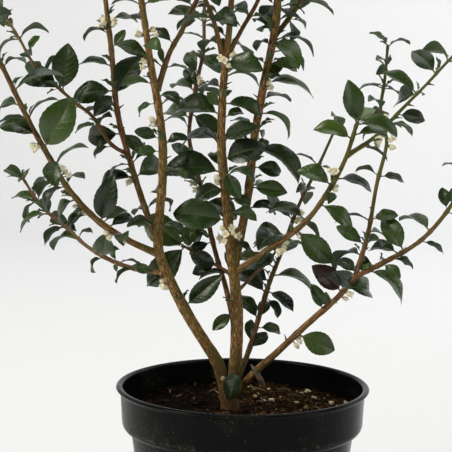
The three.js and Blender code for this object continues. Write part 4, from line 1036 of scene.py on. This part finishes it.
def add_small_chips(shape, draw):
    for _ in range(SMALL_CHIPS):
        x, y = scattered(draw, 12, soil_edge() - 3)
        size = 1.2 + 3.6 * draw() ** 2
        turn = rotation(1.2 * (draw() - 0.5), 1.2 * (draw() - 0.5), math.pi * draw())
        sizes = np.array([size, size * (0.4 + 0.5 * draw()), size * (0.25 + 0.25 * draw())])
        add_chip(shape, on_soil(x, y) + UP * (0.15 * size), sizes, turn, draw, draw())


def add_crumbs(shape, draw):
    for _ in range(CRUMBS):
        x, y = scattered(draw, 9, soil_edge() - 3)
        size = 0.7 + 1.5 * draw() ** 2
        turn = rotation(3 * draw(), 3 * draw(), 3 * draw())
        add_chip(shape, on_soil(x, y), np.array([size, size * 0.8, size * 0.8]), turn, draw, 0.3 * draw())


def add_twigs(shape, draw):
    """Thin, slightly bowed bits of twig that lie on the soil."""
    for _ in range(TWIGS):
        x, y = scattered(draw, 14, soil_edge() - 14)
        heading, length = TURN * draw(), 6 + 14 * draw()
        bow = 0.25 * (draw() - 0.5)
        centres = []
        for share in np.linspace(-0.5, 0.5, 7):
            lift = UP * (0.9 + 1.6 * share * draw())
            centres.append(on_soil(x, y) + level(heading + bow * share) * share * length + lift)
        radius = 0.3 + 0.35 * draw()
        points, faces = tube(centres, radius * np.array([0.8, 1, 1.05, 0.95, 1, 0.9, 0.7]), 6)
        shape.add(points, faces, 0, (draw(), 0, 0))


def make_litter(chip_material, twig_material):
    draw, chips, crumbs, twigs = Draws(DETAIL_SEED), Shape(), Shape(), Shape()
    add_large_chips(chips, draw)
    add_small_chips(chips, draw)
    add_crumbs(crumbs, draw)
    add_twigs(twigs, draw)
    for name, shape, material in (
        ("bark_chips", chips, chip_material),
        ("soil_crumbs", crumbs, chip_material),
        ("twigs", twigs, twig_material),
    ):
        piece = shape.make(name, [material], 30)
        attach(piece, "root")


# Materials.
class Value:
    """A number, colour or vector that a node puts out."""

    def __init__(self, look, socket):
        self.look, self.socket = look, socket

    def calculate(self, operation, *others):
        return self.look.node("Math", dict(enumerate((self, *others))), operation=operation)

    def __add__(self, other):
        return self.calculate("ADD", other)

    def __sub__(self, other):
        return self.calculate("SUBTRACT", other)

    def __mul__(self, other):
        return self.calculate("MULTIPLY", other)

    def __pow__(self, other):
        return self.calculate("POWER", other)

    def __abs__(self):
        return self.calculate("ABSOLUTE")

    def between(self, low, high, to_low=0, to_high=1):
        inputs = {"Value": self, "From Min": low, "From Max": high, "To Min": to_low, "To Max": to_high}
        return self.look.node("MapRange", inputs, "Result")

    def ramp(self, *stops):
        """A colour for a value: stops are (place, colour)."""
        node = self.look.add("ValToRGB", {"Fac": self})
        elements = node.color_ramp.elements
        for element, (place, colour) in ((elements[0], stops[0]), (elements[1], stops[-1])):
            element.position = place
            element.color = (*colour, 1)
        for place, colour in stops[1:-1]:
            elements.new(place).color = (*colour, 1)
        return Value(self.look, node.outputs["Color"])

    def mixed(self, share, other):
        """This colour with a share of another over it."""
        other = other if isinstance(other, Value) else (*other, 1)
        return self.look.node("Mix", {0: share, 6: self, 7: other}, 2, data_type="RGBA")


class Look:
    """A material in the making."""

    def __init__(self, name):
        self.material = bpy.data.materials.new(name)
        self.material.use_nodes = True
        self.tree = self.material.node_tree
        self.tree.nodes.clear()

    def add(self, kind, inputs=None, **settings):
        """A node of one kind, with its settings and its inputs, each a constant or another node's output."""
        node = self.tree.nodes.new("ShaderNode" + kind)
        for key, value in settings.items():
            setattr(node, key, value)
        for key, value in (inputs or {}).items():
            if isinstance(value, Value):
                self.tree.links.new(value.socket, node.inputs[key])
            else:
                node.inputs[key].default_value = value
        return node

    def node(self, kind, inputs=None, output=0, **settings):
        return Value(self, self.add(kind, inputs, **settings).outputs[output])

    def place(self):
        return self.node("TexCoord", output="Object")

    def note(self):
        """The three numbers that each vertex carries."""
        return self.node("Attribute", output="Vector", attribute_name="note")

    def parts(self, vector):
        return [Value(self, output) for output in self.add("SeparateXYZ", {0: vector}).outputs]

    def stretched(self, vector, scale):
        return self.node("Mapping", {"Vector": vector, "Scale": scale})

    def noise(self, scale, vector=None, detail=3, roughness=0.55):
        inputs = {"Scale": scale, "Detail": detail, "Roughness": roughness, "Vector": vector or self.place()}
        return self.node("TexNoise", inputs, "Fac")

    def finish(self, colour, roughness, height=None, distance=0.0001, **constants):
        """The surface shader with what goes into it. The material is then complete."""
        inputs = {"Base Color": colour if isinstance(colour, Value) else (*colour, 1), "Roughness": roughness}
        inputs.update({key.replace("_", " "): value for key, value in constants.items()})
        if height is not None:
            inputs["Normal"] = self.node("Bump", {"Height": height, "Distance": distance}, "Normal")
        self.add("OutputMaterial", {"Surface": self.node("BsdfPrincipled", inputs)})
        return self.material


def vein_lines(along, aside):
    """Side veins that run out and forward from the midrib, and the midrib, as 0 to 1."""
    out = abs(aside)
    wave = (along * 8.0 - out**1.25 * 1.7).calculate("PINGPONG", 0.5)
    return wave.between(0.09, 0.0) * out.between(0.98, 0.75), out.between(0.1, 0.04)


def leaf_upper():
    look = Look("leaf_upper")
    along, aside, tint = look.parts(look.note())
    side, middle = vein_lines(along, aside)
    colour = (tint * 0.7 + look.noise(160, detail=2) * 0.3).ramp(
        (0.08, (0.003, 0.009, 0.0015)), (0.32, (0.012, 0.03, 0.0045)),
        (0.58, (0.042, 0.086, 0.012)), (0.9, (0.085, 0.142, 0.017)),
    )
    colour = colour.mixed(side * 0.14, (0.04, 0.075, 0.018)).mixed(middle * 0.5, (0.08, 0.12, 0.03))
    colour = colour.mixed(abs(aside).between(0.94, 1.0) * 0.35, (0.07, 0.08, 0.03))
    colour = colour.mixed(tint.between(1.2, 1.6), (0.022, 0.009, 0.006))
    rough = look.noise(420).between(0.3, 0.7, 0.22, 0.36)
    height = look.noise(1900, detail=2) * 0.4 - side * 0.35 - middle * 0.5
    return look.finish(colour, rough, height, 0.0002, Specular_IOR_Level=0.5)


def leaf_lower():
    look = Look("leaf_lower")
    along, aside, tint = look.parts(look.note())
    side, middle = vein_lines(along, aside)
    colour = tint.ramp((0.0, (0.038, 0.068, 0.03)), (1.0, (0.085, 0.14, 0.05)))
    colour = colour.mixed(side * 0.35, (0.1, 0.14, 0.06)).mixed(middle * 0.7, (0.15, 0.17, 0.07))
    return look.finish(colour, 0.6, side + look.noise(1500, detail=2))


def leaf_stalk():
    look = Look("leaf_stalk")
    value = look.parts(look.note())[2] * 0.5 + look.noise(300)
    colour = value.ramp((0.3, (0.1, 0.09, 0.03)), (0.7, (0.12, 0.13, 0.045)), (1.0, (0.13, 0.06, 0.03)))
    return look.finish(colour, 0.5)


def bark():
    """Streaks along the stem, pale dots, and older, greyer wood where the stem is thick, with painted shade
    near the soil and painted light on each stem's right side.
    """
    look = Look("bark")
    note = look.note()
    turn, _, youth = look.parts(note)
    x, _, z = look.parts(look.place())
    streak = look.noise(1.6, look.stretched(note, (1.0, 0.14, 1.0)), 5, 0.65)
    patch = look.noise(90, detail=4)
    old = streak.ramp((0.34, (0.016, 0.006, 0.002)), (0.46, (0.15, 0.068, 0.017)),
                      (0.55, (0.37, 0.2, 0.062)), (0.67, (0.82, 0.58, 0.31)))
    young = streak.ramp((0.34, (0.05, 0.017, 0.008)), (0.5, (0.15, 0.055, 0.023)),
                        (0.6, (0.25, 0.11, 0.048)), (0.7, (0.45, 0.25, 0.13)))
    fresh = youth.between(0.68, 0.8) * patch.between(0.4, 0.62)
    # Olive patches, partly real and partly painted light: painted stronger on each stem's right side, as its
    # lit side.
    olive_and_lit_side = look.noise(35).between(0.42, 0.58) * turn.between(-1.5, 1.5, 0.2, 0.7)
    shaded = x.between(0.02, 0.08) * z.between(0.24, 0.33) * youth.between(0.1, 0.4)
    cells = look.node("TexVoronoi", {"Vector": note, "Scale": 0.55, "Randomness": 1.0}, "Distance")
    dots = cells.between(0.17, 0.09)
    grey = patch.between(0.52, 0.7) * youth.between(0.7, 0.2)
    # Painted shade: the trunk darkens towards the soil, where shade falls.
    in_painted_shade = z.between(0.19, 0.14, 0, 0.65)
    colour = old.mixed(youth.between(0.1, 0.6), young)
    colour = colour.mixed(fresh * 0.6, (0.08, 0.095, 0.022)).mixed(olive_and_lit_side, (0.12, 0.115, 0.022))
    colour = colour.mixed(shaded * 0.75, (0.095, 0.12, 0.012)).mixed(dots * 0.6, (0.4, 0.27, 0.13))
    colour = colour.mixed(grey * 0.3, (0.15, 0.13, 0.045)).mixed(in_painted_shade, (0.03, 0.01, 0.002))
    rough = streak.between(0.3, 0.7, 0.6, 0.8) - youth * 0.3
    height = (streak + dots * 0.5) * youth.between(0.1, 0.6, 1, 0.4)
    return look.finish(colour, rough, height, 0.0009, Specular_IOR_Level=0.24)


def two_shades(name, dark, light, scale, roughness):
    """Two shades mixed by a noise, with a little relief."""
    look = Look(name)
    value = look.noise(scale)
    return look.finish(value.ramp((0.35, dark), (0.65, light)), roughness, value)


def pot_plastic():
    """Black moulded plastic: fine grain, pale dust in patches, scuffs, and worn edges."""
    look = Look("pot_plastic")
    place = look.place()
    band_edge = (POT["band_bottom"] - 1) * MM
    grain = look.noise(2600, place, 2)
    patch = look.noise(22, place, 5, 0.6)
    dust = patch.between(0.5, 0.72)
    cells = look.node("TexVoronoi", {"Vector": place, "Scale": 330.0}, "Distance")
    specks = cells.between(0.2, 0.08) * patch.between(0.46, 0.6)
    scratch = look.noise(95, look.stretched(place, (1.0, 1.0, 9.0)), 6, 0.8).between(0.66, 0.72)
    worn = abs(look.parts(place)[2] - band_edge).between(0.0022, 0.0)
    scuff = worn * look.noise(260, place, 5, 0.7).between(0.5, 0.62)
    colour = grain.ramp((0.3, (0.0028, 0.0036, 0.0033)), (0.7, (0.0048, 0.0058, 0.0054)))
    colour = colour.mixed(dust * 0.22, (0.06, 0.055, 0.047)).mixed(specks * 0.7, (0.16, 0.14, 0.11))
    colour = colour.mixed(scratch * 0.3, (0.08, 0.085, 0.085)).mixed(scuff * 0.5, (0.13, 0.105, 0.075))
    rough = dust.between(0, 1, 0.2, 0.42) + scratch * 0.08
    return look.finish(colour, rough, grain + scratch * -0.6, 0.00003, Specular_IOR_Level=0.07)


def lit_side_share(look):
    """Painted light on the soil: from 0 at the left, in the painted shadow of the pot's rim, to 1 at the
    right, painted as lit.
    """
    place = look.place()
    return (look.parts(place)[0] + look.noise(60, place) * 0.05).between(-0.005, 0.045)


def soil_material():
    look = Look("soil")
    value = look.noise(120, detail=8, roughness=0.7) * 0.6 + look.noise(900, detail=4, roughness=0.7) * 0.4
    # Painted shade and light: the soil's colour in painted shadow at the left, and paler in painted light at
    # the right.
    in_painted_shade = value.ramp((0.4, (0.001, 0.0007, 0.0004)), (0.55, (0.005, 0.003, 0.0014)),
                      (0.68, (0.03, 0.018, 0.008)))
    in_painted_light = value.ramp((0.42, (0.002, 0.001, 0.0005)), (0.52, (0.028, 0.013, 0.005)),
                     (0.66, (0.22, 0.115, 0.045)))
    return look.finish(in_painted_shade.mixed(lit_side_share(look), in_painted_light), 0.9, value, 0.002, Specular_IOR_Level=0.03)


def chip_material():
    """Bark chips from near black to pale tan, each its own shade, darker in painted shade at the left and
    paler in painted light at the right.
    """
    look = Look("bark_chip")
    shade, kind, _ = look.parts(look.note())
    grain = look.noise(700, detail=4)
    # Painted shade and light: each chip's own tone is scaled darker at the left and paler at the right.
    value = (shade + (grain - 0.5) * 0.35) * lit_side_share(look).between(0, 1, 0.55, 1.25)
    colour = value.ramp((0.0, (0.005, 0.003, 0.002)), (0.5, (0.03, 0.014, 0.006)),
                        (0.78, (0.11, 0.052, 0.02)), (0.92, (0.28, 0.17, 0.075)), (1.0, (0.6, 0.5, 0.32)))
    mossy = kind.between(0.86, 0.88) * value.between(0.5, 0.7)
    colour = colour.mixed(mossy * 0.7, (0.13, 0.16, 0.06))
    return look.finish(colour, 0.85, grain, 0.0005, Specular_IOR_Level=0.06)


def petal_material():
    look = Look("petal")
    cloud = look.noise(500)
    colour = cloud.ramp((0.3, (0.95, 0.83, 0.52)), (0.6, (0.99, 0.93, 0.72)))
    return look.finish(colour, 0.55, cloud, Subsurface_Weight=0.5, Subsurface_Scale=0.0012,
                       Subsurface_Radius=(1, 0.95, 0.8))


def make_materials():
    spur = two_shades("spur", (0.05, 0.028, 0.018), (0.12, 0.07, 0.04), 900, 0.6)
    bud = two_shades("bud", (0.09, 0.04, 0.02), (0.14, 0.12, 0.04), 900, 0.55)
    calyx = two_shades("calyx", (0.1, 0.15, 0.04), (0.17, 0.2, 0.06), 800, 0.55)
    stamen = two_shades("stamen", (0.8, 0.6, 0.18), (0.9, 0.75, 0.35), 800, 0.6)
    return {
        "wood": [bark(), spur, bud],
        "leaves": [leaf_upper(), leaf_lower(), leaf_stalk()],
        "flowers": [petal_material(), calyx, stamen],
    }


# What else stands out on the trunk.
TRUNK_SCAR = {"centre": (-14.6, -4.8, 157), "radii": (1.8, 1.1, 2.1), "sides": 12}
DRY_LEAF = {
    "line": [
        (6, -5, 168), (7.5, -7, 166), (10.5, -9, 162), (13.5, -10, 157), (15.8, -10.3, 153), (17, -10, 150),
    ],
    "half_widths": [0.6, 2.2, 3.2, 3.1, 2, 0.3],
    "columns": 7,
    "curl": 1.5,
    "thickness": 0.35,
}


def make_trunk_scar(material):
    """A pale round scar at the trunk's front, as a low dome."""
    rings = []
    for share in np.linspace(-1, 1, 9)[1:-1]:
        reach = math.sqrt(1 - share**2)
        unit_ring = ring(RIGHT, UP, reach, reach, TRUNK_SCAR["sides"]) - TO_VIEWER * share
        rings.append(unit_ring * TRUNK_SCAR["radii"] + TRUNK_SCAR["centre"])
    shape = Shape()
    shape.add(np.concatenate(rings), closed_faces(len(rings), TRUNK_SCAR["sides"]))
    piece = shape.make("trunk_scar", [material])
    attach(piece, "root")


def grid_border(rows, columns):
    """The vertices round a grid, in order."""
    border = [*range(columns), *range(2 * columns - 1, rows * columns, columns)]
    return border + [*range(rows * columns - 2, (rows - 1) * columns - 1, -1),
                     *range((rows - 2) * columns, 0, -columns)]


def make_dry_leaf(material):
    """A withered leaf, curled lengthwise, that hangs at the trunk's right."""
    line, curl = np.array(DRY_LEAF["line"], float), DRY_LEAF["curl"]
    skins = [[], []]
    for i, (centre, half) in enumerate(zip(line, DRY_LEAF["half_widths"])):
        along = unit(line[min(i + 1, len(line) - 1)] - line[max(i - 1, 0)])
        out = square_to(TO_VIEWER, along)
        aside, radius = cross(along, out), half / curl
        for angle in curl * np.linspace(-1, 1, DRY_LEAF["columns"]):
            direction = aside * math.sin(angle) + out * math.cos(angle)
            skins[0].append(centre + direction * radius)
            skins[1].append(centre + direction * (radius - DRY_LEAF["thickness"]))
    rows, columns = len(line), DRY_LEAF["columns"]
    count = rows * columns
    front = [face[::-1] for face in grid_faces(rows, columns)]
    back = [tuple(i + count for i in face[::-1]) for face in front]
    border = grid_border(rows, columns)
    rim = [(a, b, b + count, a + count) for a, b in zip(border, border[1:] + border[:1])]
    shape = Shape()
    shape.add(np.array(skins[0] + skins[1]), front + back + rim)
    piece = shape.make("dry_leaf", [material], 70)
    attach(piece, "root")


# Stage, lights and camera, in metres.
FLOOR = {"near": -5.0, "far": 2.0, "half_width": 5.0, "bend": 0.8, "top": 3.0}
CAMERA = {"place": (-0.0139, -1.0801, 0.4039), "pitch": 7.0, "roll": 0.7, "lens": 117.0}
WORLD = {"colour": (1, 0.98, 0.95, 1), "strength": 0.1}
WHITE = (1, 1, 1)
WARM = (1, 0.95, 0.85)
# name, place, target, size, power, colour
SOFTBOXES = [
    ("overhead", (0.3, 0.7, 2.3), (0.1, 1.2, 0), (2.6, 2.2), 34, WHITE),
    ("backdrop_left", (-1.9, 1.2, 1.1), (0, 2.8, 0.35), (0.8, 1.4), 8, WHITE),
    ("backdrop_right", (1.9, 1.2, 1.1), (0, 2.8, 0.35), (0.8, 1.4), 18, WHITE),
    ("left_front", (-1.6, -0.8, 1.3), (0, 0, 0.25), (0.7, 0.8), 27, WARM),
    ("right_fill", (1.5, -0.8, 0.9), (0, 0, 0.25), (0.8, 1.0), 6.5, WARM),
]


def make_backdrop():
    """A pale floor that sweeps up into a wall behind."""
    far, bend = FLOOR["far"], FLOOR["bend"]
    line = [(FLOOR["near"], 0.0)]
    line += [(far + bend * math.sin(a), bend - bend * math.cos(a)) for a in np.linspace(0, math.pi / 2, 17)]
    line.append((line[-1][0], FLOOR["top"]))
    points = [(x, y, z) for y, z in line for x in (-FLOOR["half_width"], FLOOR["half_width"])]
    mesh = bpy.data.meshes.new("backdrop")
    mesh.from_pydata(points, [], grid_faces(len(line), 2))
    mesh.polygons.foreach_set("use_smooth", np.ones(len(mesh.polygons), bool))
    mesh.materials.append(Look("backdrop").finish((0.86, 0.87, 0.88), 0.9))
    backdrop = bpy.data.objects.new("backdrop", mesh)
    bpy.context.scene.collection.objects.link(backdrop)


def make_studio():
    world = bpy.data.worlds.new("studio")
    world.use_nodes = True
    background = world.node_tree.nodes["Background"]
    background.inputs["Color"].default_value = WORLD["colour"]
    background.inputs["Strength"].default_value = WORLD["strength"]
    bpy.context.scene.world = world
    for name, place, target, size, power, colour in SOFTBOXES:
        light = bpy.data.lights.new(name, "AREA")
        light.color, light.shape, light.energy = colour, "RECTANGLE", power
        light.size, light.size_y = size
        lamp = bpy.data.objects.new(name, light)
        lamp.location = place
        lamp.rotation_euler = (Vector(target) - Vector(place)).to_track_quat("-Z", "Y").to_euler()
        bpy.context.scene.collection.objects.link(lamp)


def make_camera():
    camera = bpy.data.cameras.new("camera")
    camera.sensor_width = 36
    camera.lens = CAMERA["lens"]
    eye = bpy.data.objects.new("camera", camera)
    eye.location = CAMERA["place"]
    level = Matrix.Rotation(math.radians(90 - CAMERA["pitch"]), 3, "X")
    eye.rotation_euler = (level @ Matrix.Rotation(math.radians(CAMERA["roll"]), 3, "Z")).to_euler()
    bpy.context.scene.collection.objects.link(eye)
    bpy.context.scene.camera = eye


def main():
    bpy.context.scene.view_settings.view_transform = "Standard"
    materials = make_materials()
    make_pot(pot_plastic())
    make_soil(soil_material())
    twig = two_shades("twig", (0.06, 0.035, 0.018), (0.2, 0.13, 0.07), 500, 0.8)
    make_litter(chip_material(), twig)
    stems, draw = grow_plant(), Draws(DETAIL_SEED)
    for name in SHOOTS:
        make_shoot(name, [stem for stem in stems if stem["shoot"] == name], materials, draw)
    make_trunk_scar(two_shades("scar", (0.42, 0.32, 0.18), (0.6, 0.5, 0.32), 900, 0.8))
    make_dry_leaf(two_shades("dry_leaf", (0.025, 0.016, 0.006), (0.15, 0.105, 0.045), 260, 0.6))
    make_backdrop()
    make_studio()
    make_camera()


main()
